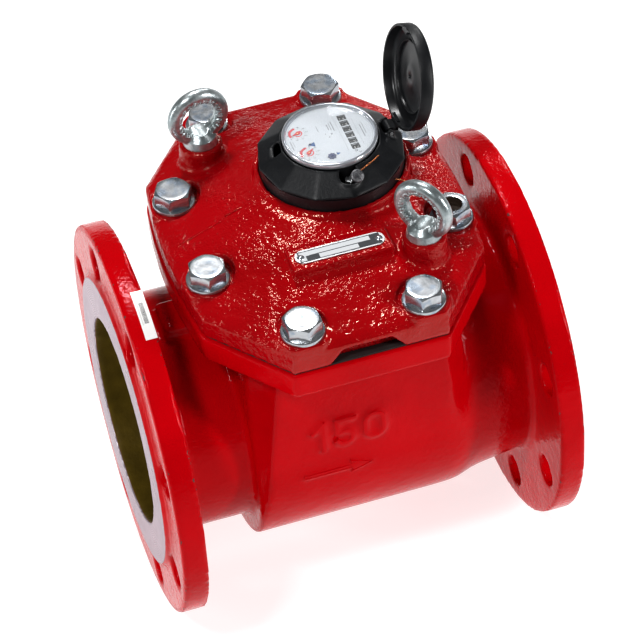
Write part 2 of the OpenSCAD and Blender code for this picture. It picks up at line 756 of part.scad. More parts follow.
// Head flange under the cover, its neck through the cover, and the column down to the saddle
module insert_head() {
    color(brass) at_register() difference() {
        union() {
            translate([0, 0, head_flange_z]) cylinder(h = head_t, r = head_flange_r);
            translate([0, 0, cover_ceiling - eps]) cylinder(h = membrane_z - cover_ceiling + eps, r = head_neck_r);
            translate([0, 0, saddle_top + 4]) cylinder(h = head_flange_z - saddle_top - 3, r = column_r);
            translate([-22, -20, saddle_top]) cube([44, 40, 5]);
        }
        translate([0, 0, saddle_top - 1]) cylinder(h = 200, r = stem_r + 1.5);
        translate([0, 0, head_flange_z - 6]) cylinder(h = 8, r = 5);
        translate([0, 0, cover_ceiling]) cylinder(h = 20, r = magnet_r + 1.2);
        // Groove of the head seal
        translate([0, 0, cover_ceiling - 2]) difference() {
            cylinder(h = 3, r = head_neck_r + 3);
            translate([0, 0, -1]) cylinder(h = 5, r = head_neck_r);
        }
        for (a = [45:90:315]) rotate([0, 0, a]) translate([head_flange_r - 6, 0, head_flange_z - 1])
            cylinder(h = head_t + 2, r = 2.7);
        for (sx = [-1, 1], sy = [-1, 1]) translate([sx * 17, sy * 15, saddle_top - 1]) cylinder(h = 8, r = 2.2);
    }
}

// Closed plate between the wet driver magnet and the dry register
module separator_plate() {
    color(steel) at_register() translate([0, 0, membrane_z]) cylinder(h = membrane_t, r = head_neck_r);
}

module head_seal() {
    color("#202020") at_register() translate([0, 0, cover_ceiling - 2]) rotate_extrude()
        translate([head_neck_r + 0.2, 0]) square([2.5, 2]);
}

module small_screw(head_radius, head_height, r, length) {
    difference() {
        union() {
            cylinder(h = head_height, r = head_radius);
            translate([0, 0, -length]) cylinder(h = length + eps, r = r);
        }
        translate([-head_radius, -0.5, head_height - 0.9]) cube([2 * head_radius, 1, 2]);
    }
}

module head_screws() {
    color(steel) at_register() for (a = [45:90:315]) rotate([0, 0, a])
        translate([head_flange_r - 6, 0, head_flange_z]) mirror([0, 0, 1]) small_screw(4.2, 3, 2.4, 12);
}

module column_screws() {
    color(steel) at_register() for (sx = [-1, 1], sy = [-1, 1])
        translate([sx * 17, sy * 15, saddle_top + 5]) small_screw(3.6, 2.6, 1.9, 12);
}

// Register: a sealed can with its train of wheels, drums and hands
module register_can() {
    color("#b9a36a") at_register() translate([0, 0, can_z0]) difference() {
        cylinder(h = can_z1 - can_z0, r = can_r);
        translate([0, 0, can_wall]) cylinder(h = 60, r = can_r - can_wall);
    }
}

module register_base() {
    color("#1b1d1f") at_register() translate([0, 0, seat_floor]) difference() {
        cylinder(h = shroud_z0 - seat_floor, r = base_ring_d / 2);
        translate([0, 0, 2.5]) cylinder(h = 40, r = base_ring_d / 2 - 3.5);
        translate([0, 0, -1]) cylinder(h = 40, r = can_r + open_gap);
        rotate([0, 0, seal_angle]) translate([screw_r, 0, -1]) cylinder(h = 5, r = 1.9);
    }
}

module follower_magnet() {
    color("#3b3b3e") at_register() translate([0, 0, can_z0 + can_wall + 0.6]) difference() {
        cylinder(h = 3, r = 10);
        translate([0, 0, -1]) cylinder(h = 5, r = spindle_r + 0.01);
    }
}

module spindle(z0, z1) {
    translate([0, 0, z0]) cylinder(h = z1 - z0, r = spindle_r);
}

module at_spindle(pos) {
    translate([reg_x + pos[0], reg_y + pos[1], 0]) children();
}

// Pinion that takes the follower magnet's turns, with the wheel that drives the star
module follower_pinion() {
    color(brass) at_register() {
        spindle(can_z0 + can_wall + 0.2, level_c + 2.5);
        translate([0, 0, level_a]) spur_gear(pinion_teeth, train_module, 2, spindle_r - 0.1);
        translate([0, 0, level_c]) spur_gear(star_wheel_teeth, train_module, 1.5, spindle_r - 0.1, star_turn);
    }
}

module gear_plate() {
    color(brass) difference() {
        union() {
            at_register() {
                translate([0, 0, gear_floor]) cylinder(h = 1.2, r = can_r - can_wall - 0.1);
                for (s = [-1, 1]) translate([drum_x - 3, s * (drum_row / 2 + 1.4) - 0.6 + drum_mid, gear_floor])
                    cube([6, 1.2, drum_z - gear_floor + 2.5]);
            }
            // Three feet on the can's floor
            at_register() for (a = [0, 120, 240]) rotate([0, 0, a])
                translate([26, 0, can_z0 + can_wall]) cylinder(h = gear_floor - can_z0 - can_wall + eps, r = 2);
        }
        at_register() translate([0, 0, gear_floor - 1]) cylinder(h = 4, r = spindle_r + running_gap);
        for (p = [transfer_pos, hundredths_pos, reduction_pos, tenths_pos, star_pos])
            at_spindle(p) translate([0, 0, gear_floor - 1]) cylinder(h = 4, r = spindle_r + running_gap);
        at_register() translate([drum_x, -40, drum_z]) rotate([-90, 0, 0]) cylinder(h = 80, r = 0.8);
    }
}

module transfer_gear() {
    color(brass) at_spindle(transfer_pos) {
        spindle(gear_floor, level_a + 2.3);
        translate([0, 0, level_a]) spur_gear(transfer_teeth, train_module, 2, spindle_r - 0.1, transfer_turn);
    }
}

module hundredths_gear() {
    color(brass) at_spindle(hundredths_pos) {
        spindle(gear_floor, dial_z + 0.6);
        translate([0, 0, level_a]) spur_gear(pinion_teeth, train_module, 2, spindle_r - 0.1, hundredths_turn);
        translate([0, 0, level_b]) spur_gear(first_pinion, first_module, 1.5, spindle_r - 0.1, line_ar);
    }
}

module reduction_gear() {
    color(brass) at_spindle(reduction_pos) {
        spindle(gear_floor, level_d + 2.5);
        translate([0, 0, level_b]) spur_gear(first_wheel, first_module, 1.2, spindle_r - 0.1,
            line_ar + 180 + 180 / first_wheel);
        translate([0, 0, level_d]) spur_gear(second_pinion, second_module, 1.5, spindle_r - 0.1, line_rb);
    }
}

module tenths_gear() {
    color(brass) at_spindle(tenths_pos) {
        spindle(gear_floor, dial_z + 0.6);
        translate([0, 0, level_d]) spur_gear(second_wheel, second_module, 1.2, spindle_r - 0.1,
            line_rb + 180 + 180 / second_wheel);
    }
}

module star_gear() {
    color(brass) at_spindle(star_pos) {
        spindle(gear_floor, dial_z + 0.6);
        translate([0, 0, level_c]) spur_gear(star_teeth, train_module, 1.5, spindle_r - 0.1,
            star_line + 180 + 180 / star_teeth);
    }
}

module drum_shaft() {
    color(steel) at_register() translate([drum_x, drum_mid - drum_row / 2 - 2.6, drum_z])
        rotate([-90, 0, 0]) cylinder(h = drum_row + 5.2, r = 0.79);
}

// Number drum with its narrower driving hub on the side away from the units
module drum(place) {
    color("#2a2a2c") at_register()
        translate([drum_x, drum_y0 + place * drum_pitch, drum_z]) rotate([-90, 0, 0]) difference() {
            union() {
                translate([0, 0, -drum_w / 2]) cylinder(h = drum_w - 1, r = drum_r);
                translate([0, 0, -drum_w / 2]) cylinder(h = drum_w, r = drum_r - 1.6);
            }
            cylinder(h = drum_w + 2, r = 0.79 + running_gap, center = true);
        }
}

module drum_1() {
    drum(0);
}

module drum_2() {
    drum(1);
}

module drum_3() {
    drum(2);
}

module drum_4() {
    drum(3);
}

module drum_5() {
    drum(4);
}

module drum_6() {
    drum(5);
}

module dial_plate() {
    color("white") at_register() translate([0, 0, dial_z - dial_t]) difference() {
        cylinder(h = dial_t, r = can_r - can_wall - 0.1);
        for (i = [0:drum_count - 1])
            translate([drum_x - 1.9, drum_y0 + i * drum_pitch - 2.5, -1]) cube([3.8, 4.2, dial_t + 2]);
        for (p = [hundredths_pos, tenths_pos, star_pos])
            translate([p[0], p[1], -1]) cylinder(h = dial_t + 2, r = spindle_r + running_gap);
    }
}

module hand(length) {
    linear_extrude(0.5) difference() {
        polygon([[length, 0], [1.1, 0.9], [0.3, 1.4], [-1.3, 1.4], [-2.1, 0.6], [-2.1, -0.6], [-1.3, -1.4],
            [0.3, -1.4], [1.1, -0.9]]);
        circle(r = spindle_r + 0.01);
    }
}

module hundredths_hand() {
    color("#c8202a") at_spindle(hundredths_pos) translate([0, 0, dial_z + 0.15]) rotate([0, 0, 40]) hand(5);
}

module tenths_hand() {
    color("#c8202a") at_spindle(tenths_pos) translate([0, 0, dial_z + 0.15]) rotate([0, 0, 200]) hand(4.4);
}

module leak_star() {
    color("#1d2b52") at_spindle(star_pos) translate([0, 0, dial_z + 0.15]) difference() {
        linear_extrude(0.5) polygon([for (i = [0:11]) (i % 2 == 0 ? 2.9 : 1.7) * [cos(i * 30), sin(i * 30)]]);
        translate([0, 0, -1]) cylinder(h = 3, r = spindle_r + 0.01);
    }
}

module lens() {
    color([0.8, 0.9, 0.95, 0.35]) at_register() translate([0, 0, lens_z1 - 1.6]) cylinder(h = 1.3, r = can_r - can_wall);
}

module lens_ring() {
    color([0.75, 0.8, 0.85]) at_register() translate([0, 0, can_z1]) difference() {
        cylinder(h = lens_z1 - can_z1, r = lens_r);
        translate([0, 0, -1]) cylinder(h = 10, r = can_r - can_wall);
    }
}

// Faceted skirt between two corner diameters
module facet_cone(z0, z1, d0, d1) {
    translate([0, 0, z0]) cylinder(h = z1 - z0, d1 = d0, d2 = d1, $fn = shroud_facets);
}

module shroud() {
    wall = 2.4;
    at_register() color(black_plastic) difference() {
        union() {
            facet_cone(shroud_z0, shroud_z0 + 1.5, shroud_d, shroud_d);
            facet_cone(shroud_z0 + 1.5 - eps, shroud_z1, shroud_d, shroud_top_d);
            // Ears of the hinge
            for (s = [-1, 1]) translate([0, s * 6.9 - 1.5, 0]) {
                translate([hinge_dx, 3, hinge_z]) rotate([90, 0, 0]) cylinder(h = 3, r = 3);
                translate([hinge_dx - 12, 0, hinge_z - 8]) cube([15, 3, 8]);
            }
            // Wall of the seal pocket
            rotate([0, 0, seal_angle]) translate([screw_r, 0, shroud_z0 + 2]) cylinder(h = 6.5, r = 8);
        }
        facet_cone(shroud_z0 - eps, shroud_z1 - wall, shroud_d - 2 * wall - 1, 2 * lens_r + 1.2);
        translate([0, 0, shroud_z0 - 1]) cylinder(h = 60, r = lens_r + open_gap);
        translate([hinge_dx, 20, hinge_z]) rotate([90, 0, 0]) cylinder(h = 40, r = pin_r);
        translate([hinge_dx - 4.6, -5.2, hinge_z - 4]) cube([20, 10.4, 20]);
        rotate([0, 0, seal_angle]) translate([screw_r, 0, shroud_z0 + 4]) cylinder(h = 30, r = 6.5);
        rotate([0, 0, seal_angle]) translate([screw_r, 0, shroud_z0 - 1]) cylinder(h = 12, r = 1.9);
        // Latch notch
        rotate([0, 0, latch_angle]) translate([lens_r + 1.6, -6, shroud_z1 - 6]) cube([9, 12, 10]);
    }
}

// The lid as it lies when closed, from the hinge pin's axis
module closed_lid() {
    top = lid_rim_z + lid_depth - hinge_z;
    rim = lid_rim_z - hinge_z;
    cx = -hinge_dx;
    difference() {
        union() {
            translate([cx, 0, rim]) {
                cylinder(h = lid_depth - 2, r = lid_r);
                translate([0, 0, lid_depth - 2 - eps]) cylinder(h = 2, r1 = lid_r, r2 = lid_r - 3);
            }
            translate([0, 4.9, 0]) rotate([90, 0, 0]) cylinder(h = 9.8, r = 2.6);
            translate([-8, -4.9, rim + 0.4]) cube([8, 9.8, 2.2]);
            translate([-2.6, -4.9, 0]) cube([2.6, 9.8, rim + 2.6]);
        }
        translate([cx, 0, rim - 1]) cylinder(h = lid_depth - 0.7, r = lid_r - 1.9);
        translate([0, 20, 0]) rotate([90, 0, 0]) cylinder(h = 40, r = pin_r + running_gap);
    }
    translate([cx, 0, top - 4.2]) difference() {
        cylinder(h = 3, r = 25.5);
        translate([0, 0, -1]) cylinder(h = 6, r = 24.3);
    }
    translate([cx, 0, top - 3.8]) difference() {
        cylinder(h = 2.5, r = 9);
        translate([0, 0, -1]) cylinder(h = 3.2, r = 1.2);
    }
    // Latch tongue nearly opposite the hinge
    translate([cx, 0, rim - tongue_drop]) rotate([0, 0, latch_angle]) translate([lid_r - 1.75, -4, 0])
        cube([1.4, 8, 6]);
}

module lid() {
    color(black_plastic) translate([hinge_x, reg_y, hinge_z]) rotate([0, lid_open, 0]) closed_lid();
}

module hinge_pin() {
    color(steel) translate([hinge_x, reg_y + 8.6, hinge_z]) rotate([90, 0, 0]) cylinder(h = 17.2, r = pin_r - 0.01);
}

module shroud_screw() {
    color(steel) at_register() rotate([0, 0, seal_angle]) translate([screw_r, 0, shroud_z0 + 4])
        small_screw(3, 2.4, 1.85, screw_len);
}

module lead_seal() {
    color("#77797b") at_register() translate(seal_pos) rotate([35, 5, 0])
        cylinder(h = 3.6, r = 4.6, center = true);
}

// Wire swept along its points with eight sides
module wire(points, r) {
    n = len(points);
    dirs = [for (i = [0:n - 1]) let (d = points[min(n - 1, i + 1)] - points[max(0, i - 1)]) d / norm(d)];
    rings = [for (i = [0:n - 1])
        let (u = cross(dirs[i], [0.3, 0.2, 1]), a = u / norm(u), b = cross(dirs[i], a))
        each [for (k = [0:7]) points[i] + r * (a * cos(k * 45) + b * sin(k * 45))]];
    sides = [for (i = [0:n - 2], k = [0:7])
        [i * 8 + k, (i + 1) * 8 + k, (i + 1) * 8 + (k + 1) % 8, i * 8 + (k + 1) % 8]];
    polyhedron(rings, concat([[for (k = [0:7]) k]], sides, [[for (k = [7:-1:0]) (n - 1) * 8 + k]]));
}

module seal_wire() {
    color(copper) at_register() wire(seal_route, wire_r);
}

module bolt_wire() {
    color(copper) at_register() wire(bolt_route, wire_r);
}

body_casting();
cover_casting();
cover_gasket();
cover_bolts();
seal_bolt();
cover_washers();
eyebolts();
nameplate();
nameplate_rivets();
flange_label();
insert_housing();
insert_seals();
flow_straightener();
regulator_vane();
front_bearing();
rotor();
rotor_shaft();
worm();
rear_bridge();
rear_bearing();
worm_wheel();
transmission_shaft();
lower_shaft_bearing();
upper_shaft_bearing();
driver_magnet();
insert_head();
separator_plate();
head_seal();
head_screws();
column_screws();
register_can();
register_base();
follower_magnet();
follower_pinion();
gear_plate();
transfer_gear();
hundredths_gear();
reduction_gear();
tenths_gear();
star_gear();
drum_shaft();
drum_1();
drum_2();
drum_3();
drum_4();
drum_5();
drum_6();
dial_plate();
hundredths_hand();
tenths_hand();
leak_star();
lens();
lens_ring();
shroud();
lid();
hinge_pin();
shroud_screw();
lead_seal();
seal_wire();
bolt_wire();
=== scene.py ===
import json
import math
import random

import bmesh
import bpy
import numpy as np
from mathutils import Matrix, Vector
from mathutils.bvhtree import BVHTree


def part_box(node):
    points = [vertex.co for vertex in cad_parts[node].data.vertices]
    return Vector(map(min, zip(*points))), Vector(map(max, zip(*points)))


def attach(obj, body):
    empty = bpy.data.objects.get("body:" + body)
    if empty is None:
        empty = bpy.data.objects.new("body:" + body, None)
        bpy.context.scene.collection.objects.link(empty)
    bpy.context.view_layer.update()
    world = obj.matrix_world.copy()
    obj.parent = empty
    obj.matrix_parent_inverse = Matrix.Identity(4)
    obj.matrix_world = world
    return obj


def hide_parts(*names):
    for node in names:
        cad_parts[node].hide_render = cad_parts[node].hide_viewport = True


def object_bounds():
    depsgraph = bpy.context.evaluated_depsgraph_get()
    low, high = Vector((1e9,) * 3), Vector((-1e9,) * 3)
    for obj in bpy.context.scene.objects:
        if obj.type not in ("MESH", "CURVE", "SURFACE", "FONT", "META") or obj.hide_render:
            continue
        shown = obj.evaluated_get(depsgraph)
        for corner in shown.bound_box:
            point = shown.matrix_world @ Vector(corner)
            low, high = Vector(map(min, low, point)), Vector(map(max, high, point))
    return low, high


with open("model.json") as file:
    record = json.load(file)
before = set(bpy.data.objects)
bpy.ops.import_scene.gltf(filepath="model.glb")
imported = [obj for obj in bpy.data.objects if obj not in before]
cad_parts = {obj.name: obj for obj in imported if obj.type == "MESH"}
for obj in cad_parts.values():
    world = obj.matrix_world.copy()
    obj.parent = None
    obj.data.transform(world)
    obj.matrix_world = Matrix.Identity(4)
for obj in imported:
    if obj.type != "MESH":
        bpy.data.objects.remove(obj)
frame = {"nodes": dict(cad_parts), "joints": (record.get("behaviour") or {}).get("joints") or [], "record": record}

cad_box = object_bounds()
MM = 0.001
scene = bpy.context.scene
nodes = frame["nodes"]
joints = {j["name"]: j for j in frame["joints"]}


# ---------------------------------------------------------------- shader sockets

class Sock:
    """A shader socket that Python's operators work on. Each operator adds a Math node."""

    def __init__(self, finish, socket):
        self.finish = finish
        self.socket = socket

    def out(self, name):
        return Sock(self.finish, self.socket.node.outputs[name])

    def math(self, operation, *others, clamp=False):
        inputs = {i: v for i, v in enumerate((self,) + others)}
        return self.finish.node("ShaderNodeMath", {"operation": operation, "use_clamp": clamp}, inputs)

    def __add__(self, other):
        return self.math("ADD", other)

    def __radd__(self, other):
        return self.math("ADD", other)

    def __sub__(self, other):
        return self.math("SUBTRACT", other)

    def __rsub__(self, other):
        return self.finish.node("ShaderNodeMath", {"operation": "SUBTRACT"}, {0: other, 1: self})

    def __mul__(self, other):
        return self.math("MULTIPLY", other)

    def __rmul__(self, other):
        return self.math("MULTIPLY", other)

    def __truediv__(self, other):
        return self.math("DIVIDE", other)

    def __pow__(self, other):
        return self.math("POWER", other)

    def __abs__(self):
        return self.math("ABSOLUTE")

    def above(self, edge, soft):
        """0 below edge, rising to 1 at edge + soft."""
        return ((self - edge) / soft).math("ADD", 0.0, clamp=True)

    def below(self, edge, soft):
        """1 below edge, falling to 0 at edge + soft."""
        return 1 - self.above(edge, soft)

    def near(self, centre, half, soft):
        """1 within half of centre, falling to 0 over soft."""
        return abs(self - centre).below(half, soft)


class Finish:
    """One procedural material: its nodes are made here, and feed() links the shader."""

    def __init__(self, name, **constants):
        self.material = bpy.data.materials.new(name)
        self.material.use_nodes = True
        self.tree = self.material.node_tree
        self.tree.nodes.clear()
        self.output = self.tree.nodes.new("ShaderNodeOutputMaterial")
        self.shader = self.tree.nodes.new("ShaderNodeBsdfPrincipled")
        self.tree.links.new(self.shader.outputs[0], self.output.inputs[0])
        for key, value in constants.items():
            self.shader.inputs[key.replace("_", " ").title().replace("Ior", "IOR")].default_value = value
        self.point = None

    def node(self, kind, settings=None, inputs=None, output=0):
        node = self.tree.nodes.new(kind)
        for key, value in (settings or {}).items():
            if key == "stops":
                self._stops(node.color_ramp, value)
            else:
                setattr(node, key, value)
        for key, value in (inputs or {}).items():
            if isinstance(value, Sock):
                self.tree.links.new(value.socket, node.inputs[key])
            else:
                node.inputs[key].default_value = value
        return Sock(self, node.outputs[output])

    def _stops(self, ramp, stops):
        while len(ramp.elements) < len(stops):
            ramp.elements.new(0.5)
        for element, (position, colour) in zip(ramp.elements, stops):
            element.position = position
            element.color = (*colour, 1)

    def place(self):
        """The point on the object in the row frame, in metres."""
        if self.point is None:
            self.point = self.node("ShaderNodeTexCoord", output="Object")
        return self.point

    def axes(self):
        split = self.node("ShaderNodeSeparateXYZ", None, {0: self.place()})
        return split, split.out("Y"), split.out("Z")

    def noise(self, scale, detail=2.0, rough=0.5, distortion=0.0, vector=None):
        return self.node("ShaderNodeTexNoise", None, {
            "Vector": vector or self.place(), "Scale": scale, "Detail": detail,
            "Roughness": rough, "Distortion": distortion})

    def cells(self, scale, feature="F1", vector=None):
        return self.node("ShaderNodeTexVoronoi", {"feature": feature}, {
            "Vector": vector or self.place(), "Scale": scale})

    def stretched(self, scale):
        """The point with each axis scaled by its own factor."""
        return self.node("ShaderNodeVectorMath", {"operation": "MULTIPLY"}, {0: self.place(), 1: scale})

    def mix(self, factor, a, b):
        a, b = [c if isinstance(c, Sock) else (*c, 1) for c in (a, b)]
        return self.node("ShaderNodeMix", {"data_type": "RGBA"}, {0: factor, 6: a, 7: b}, output=2)

    def ramp(self, value, *stops):
        return self.node("ShaderNodeValToRGB", {"stops": stops}, {0: value})

    def bump(self, height, distance, strength=1.0, normal=None):
        inputs = {"Height": height, "Distance": distance, "Strength": strength}
        if normal:
            inputs["Normal"] = normal
        return self.node("ShaderNodeBump", None, inputs)

    def feed(self, **links):
        for key, value in links.items():
            self.tree.links.new(value.socket, self.shader.inputs[key.replace("_", " ").title()])
        return self.material


# ---------------------------------------------------------------- finishes

FACE_R = 0.106
BORE_R = 0.0757
RIM_R = 0.1425
LENGTH = 0.300


def red_enamel(name, flanged):
    """Glossy enamel sprayed over a sand casting, with bare machined faces on the flanges."""
    f = Finish(name, ior=1.52, specular_ior_level=0.10 if flanged else 0.42,
               specular_tint=(1.0, 0.86, 0.92, 1) if flanged else (1.0, 0.87, 0.68, 1))
    x, y, z = f.axes()
    tone = f.noise(16, 3)
    # Painted shade: the cover's copy of this enamel has its red darkened to 0.74 of the body's, because the top takes
    # more light
    strength = 1.0 if flanged else 0.74
    colour = f.mix(tone.above(0.35, 0.35), (0.52 * strength, 0.0, 0.004), (0.62 * strength, 0.0, 0.006))
    drift = f.noise(24, 2, 0.6)
    pebble = f.noise(360, 2, 0.5, 0.4)
    coarse = f.noise(130, 2, 0.5)
    patch = drift.above(0.36, 0.24)
    height = pebble * (0.25 + (0.30 if flanged else 0.75) * patch) + coarse * 0.5 + drift * (0.5 if flanged else 2.0)
    rough = 0.08 + 0.10 * f.noise(60, 3)
    if flanged:
        r = (y * y + z * z) ** 0.5
        ends = x.below(0.0009, 0.0004) + x.above(LENGTH - 0.0013, 0.0004)
        face = ends * r.below(FACE_R - 0.0012, 0.0006)
        bore = r.below(BORE_R, 0.0004)
        edge = r.above(RIM_R - 0.0016, 0.0008) * (x.near(0.003, 0.0010, 0.0012) + x.near(0.021, 0.0010, 0.0012)
                                                 + x.near(0.279, 0.0010, 0.0012) + x.near(0.297, 0.0010, 0.0012))
        chips = edge * f.noise(170, 3, 0.7).above(0.60, 0.04)
        grooves = (r * 3900).math("SINE") * 0.5 + 0.5
        bare = f.mix(grooves * 0.6 + f.noise(90, 3) * 0.4, (0.20, 0.18, 0.20), (0.66, 0.62, 0.66))
        colour = f.mix(chips, colour, (0.10, 0.085, 0.08))
        colour = f.mix(face, colour, bare)
        lining = f.mix(f.noise(70, 4), (0.060, 0.040, 0.004), (0.22, 0.15, 0.02))
        colour = f.mix(bore * (1 - face), colour, lining)
        height = f.node("ShaderNodeMix", {"data_type": "FLOAT"}, {0: face, 2: height, 3: grooves * 0.3})
        rough = rough + face * 0.16 + bore * 0.30 + chips * 0.4
        f.feed(Metallic=face * 0.6)
    normal = f.bump(height, 0.0007 if flanged else 0.0013, 0.9)
    return f.feed(Base_Color=colour, Roughness=rough, Normal=normal)


def bright_zinc(name, tint=(0.58, 0.60, 0.62), grain=260):
    """Zinc plate: mottled spangle, fine draw marks and a few dull scuffs."""
    f = Finish(name, ior=1.6)
    spangle = f.noise(grain, 4, 0.6, 0.8)
    cloud = f.noise(110, 3, 0.6)
    colour = f.mix(spangle.above(0.35, 0.35), tuple(c * 0.84 for c in tint), tint)
    colour = f.mix(cloud.above(0.48, 0.12) * 0.6, colour, (0.24, 0.31, 0.40))
    rough = 0.15 + 0.10 * spangle + 0.10 * cloud
    normal = f.bump(spangle + 0.4 * f.noise(1400, 2), 0.00006, 0.5)
    return f.feed(Base_Color=colour, Roughness=rough, Metallic=0.88 - 0.1 * cloud, Normal=normal)


def galvanised(name):
    """Hot-dip zinc on a forging: soft grey, pocked, with brighter rubbed ridges."""
    f = Finish(name, ior=1.6)
    pocks = f.cells(520)
    cloud = f.noise(90, 4, 0.6)
    colour = f.mix(cloud.above(0.4, 0.25), (0.36, 0.41, 0.42), (0.60, 0.64, 0.65))
    colour = f.mix(pocks.below(0.16, 0.1) * 0.4, colour, (0.35, 0.36, 0.37))
    normal = f.bump(pocks + 0.8 * f.noise(600, 3), 0.00012, 0.6)
    return f.feed(Base_Color=colour, Roughness=0.27 + 0.15 * cloud, Metallic=0.85 - 0.2 * cloud, Normal=normal)


def plain_steel(name, tint, rough=0.25):
    """Turned steel with faint tool marks."""
    f = Finish(name)
    marks = f.noise(500, 3, 0.5, vector=f.stretched((1, 1, 6)))
    colour = f.mix(marks, tuple(c * 0.8 for c in tint), tint)
    return f.feed(Base_Color=colour, Roughness=rough + 0.15 * marks, Metallic=0.9 + 0.05 * marks,
                  Normal=f.bump(marks, 0.00005, 0.3))


def brass_finish(name, tint=(0.62, 0.42, 0.16)):
    """Machined brass, a little tarnished."""
    f = Finish(name)
    stain = f.noise(60, 4, 0.6)
    colour = f.mix(stain.above(0.4, 0.3), tint, tuple(c * 0.62 for c in tint))
    lines = f.noise(900, 2, 0.5, vector=f.stretched((0.3, 0.3, 4)))
    return f.feed(Base_Color=colour, Roughness=0.24 + 0.25 * stain, Metallic=0.95 - 0.1 * stain,
                  Normal=f.bump(lines, 0.00004, 0.35))


def moulded_plastic(name, tint, grain=900, depth=0.00006, rough=0.5, spread=0.25, coat=0.0):
    """Injection-moulded plastic with a spark-eroded grain and handling marks."""
    f = Finish(name, coat_weight=coat, coat_roughness=0.25)
    blotch = f.noise(45, 4, 0.6)
    grains = f.noise(grain, 3, 0.65)
    dust = f.noise(2300, 2, 0.6).above(0.66, 0.06) * blotch
    lighter = tuple(min(1.0, c * 1.5 + 0.01) for c in tint)
    colour = f.mix(blotch.above(0.35, 0.4) * spread * 2, tint, lighter)
    colour = f.mix(dust * 0.35, colour, (0.42, 0.41, 0.40))
    return f.feed(Base_Color=colour, Roughness=rough - 0.12 + 0.28 * blotch,
                  Normal=f.bump(grains, depth, 0.8))


def soft_rubber(name):
    f = Finish(name)
    bloom = f.noise(120, 4, 0.6)
    colour = f.mix(bloom, (0.016, 0.016, 0.017), (0.05, 0.048, 0.046))
    return f.feed(Base_Color=colour, Roughness=0.62 + 0.25 * bloom, Normal=f.bump(f.noise(800, 2), 0.00008, 0.5))


def dull_lead(name):
    f = Finish(name)
    scrape = f.noise(420, 4, 0.65, 1.2)
    colour = f.mix(scrape.above(0.4, 0.3), (0.10, 0.10, 0.11), (0.33, 0.33, 0.34))
    return f.feed(Base_Color=colour, Roughness=0.38 + 0.3 * scrape, Metallic=0.75 - 0.2 * scrape,
                  Normal=f.bump(scrape, 0.00025, 0.8))


def copper_wire(name):
    f = Finish(name)
    age = f.noise(700, 3, 0.6)
    colour = f.mix(age.above(0.4, 0.3), (0.62, 0.26, 0.11), (0.35, 0.15, 0.07))
    return f.feed(Base_Color=colour, Roughness=0.22 + 0.25 * age, Metallic=0.95 - 0.1 * age,
                  Normal=f.bump(age, 0.00005, 0.4))


def shaded_dial_card(name):
    """Printed white card coloured a dim blue-grey, as painted shade under the glass, with a faint paper sheen."""
    f = Finish(name)
    cloud = f.noise(90, 3)
    colour = f.mix(cloud, (0.58, 0.62, 0.67), (0.68, 0.71, 0.74))
    return f.feed(Base_Color=colour, Roughness=0.42 + 0.12 * cloud, Normal=f.bump(f.noise(2500, 2), 0.00002, 0.3))


def ink(name, tint, rough=0.45):
    """Printed ink with small breaks of density."""
    f = Finish(name)
    worn = f.noise(1500, 3, 0.6)
    colour = f.mix(worn.above(0.45, 0.3), tint, tuple(min(1.0, c * 1.35 + 0.015) for c in tint))
    return f.feed(Base_Color=colour, Roughness=rough + 0.12 * worn, Normal=f.bump(worn, 0.00002, 0.3))


def plate_print(name, low, high):
    """Metal plate with two white panels split by a fine line, and black ends round the rivets."""
    f = Finish(name)
    x, y, z = f.axes()
    mid_x, mid_y = (low.x + high.x) / 2, (low.y + high.y) / 2
    half_x, half_y = (high.x - low.x) / 2, (high.y - low.y) / 2
    brushed = f.noise(700, 2, 0.5, vector=f.stretched((0.15, 3, 1)))
    metal = f.mix(brushed, (0.34, 0.35, 0.36), (0.58, 0.59, 0.60))
    across = abs(y - mid_y)
    along = abs(x - mid_x)
    inside = across.below(half_y - 0.0013, 0.0002) * along.below(half_x - 0.0028, 0.0003)
    line = across.below(0.00030, 0.0001) * along.below(half_x - 0.0105, 0.0003)
    low_side = (y - mid_y).below(0.0, 0.0002)
    left = (x - mid_x).below(-half_x + 0.0165, 0.0002) * (x - mid_x).above(-half_x + 0.0075, 0.0002) * low_side
    right = (x - mid_x).above(half_x - 0.0190, 0.0002) * low_side
    cap = (x - mid_x).above(half_x - 0.0100, 0.0002)
    frame_line = inside * (across.above(half_y - 0.0021, 0.0001) + along.above(half_x - 0.0036, 0.0001))
    colour = f.mix(inside, metal, (0.64, 0.66, 0.68))
    dark = inside * (left + right + cap + line + frame_line).math("ADD", 0.0, clamp=True)
    colour = f.mix(dark, colour, (0.018, 0.022, 0.030))
    return f.feed(Base_Color=colour, Roughness=0.25 + 0.15 * brushed + 0.1 * inside,
                  Metallic=0.9 - 0.9 * inside, Normal=f.bump(brushed - inside * 0.6, 0.00006, 0.5))


def paper_label(name, low, high):
    """White label with a block of upright bars and a row of short grey dashes."""
    f = Finish(name, coat_weight=0.25, coat_roughness=0.15)
    x, y, z = f.axes()
    turn = y.math("ARCTAN2", z)
    a0, a1 = math.atan2(low.y, high.z), math.atan2(high.y, high.z)
    u = (turn - a0) / (a1 - a0)
    v = (x - low.x) / (high.x - low.x)
    rows = f.node("ShaderNodeTexNoise", {"noise_dimensions": "1D"}, {"W": u * 90, "Detail": 0.0})
    bars = rows.above(0.47, 0.02) * u.near(0.46, 0.24, 0.004) * v.near(0.52, 0.17, 0.02)
    gaps = f.node("ShaderNodeTexNoise", {"noise_dimensions": "1D"}, {"W": u * 60 + 7, "Detail": 0.0})
    dashes = gaps.above(0.5, 0.05) * u.near(0.46, 0.26, 0.004) * v.near(0.20, 0.04, 0.02)
    print_mask = (bars + dashes * 0.5).math("ADD", 0.0, clamp=True)
    colour = f.mix(print_mask, (0.90, 0.90, 0.89), (0.03, 0.03, 0.04))
    crease = f.noise(120, 3)
    return f.feed(Base_Color=colour, Roughness=0.3 + 0.15 * crease, Normal=f.bump(crease, 0.0001, 0.3))


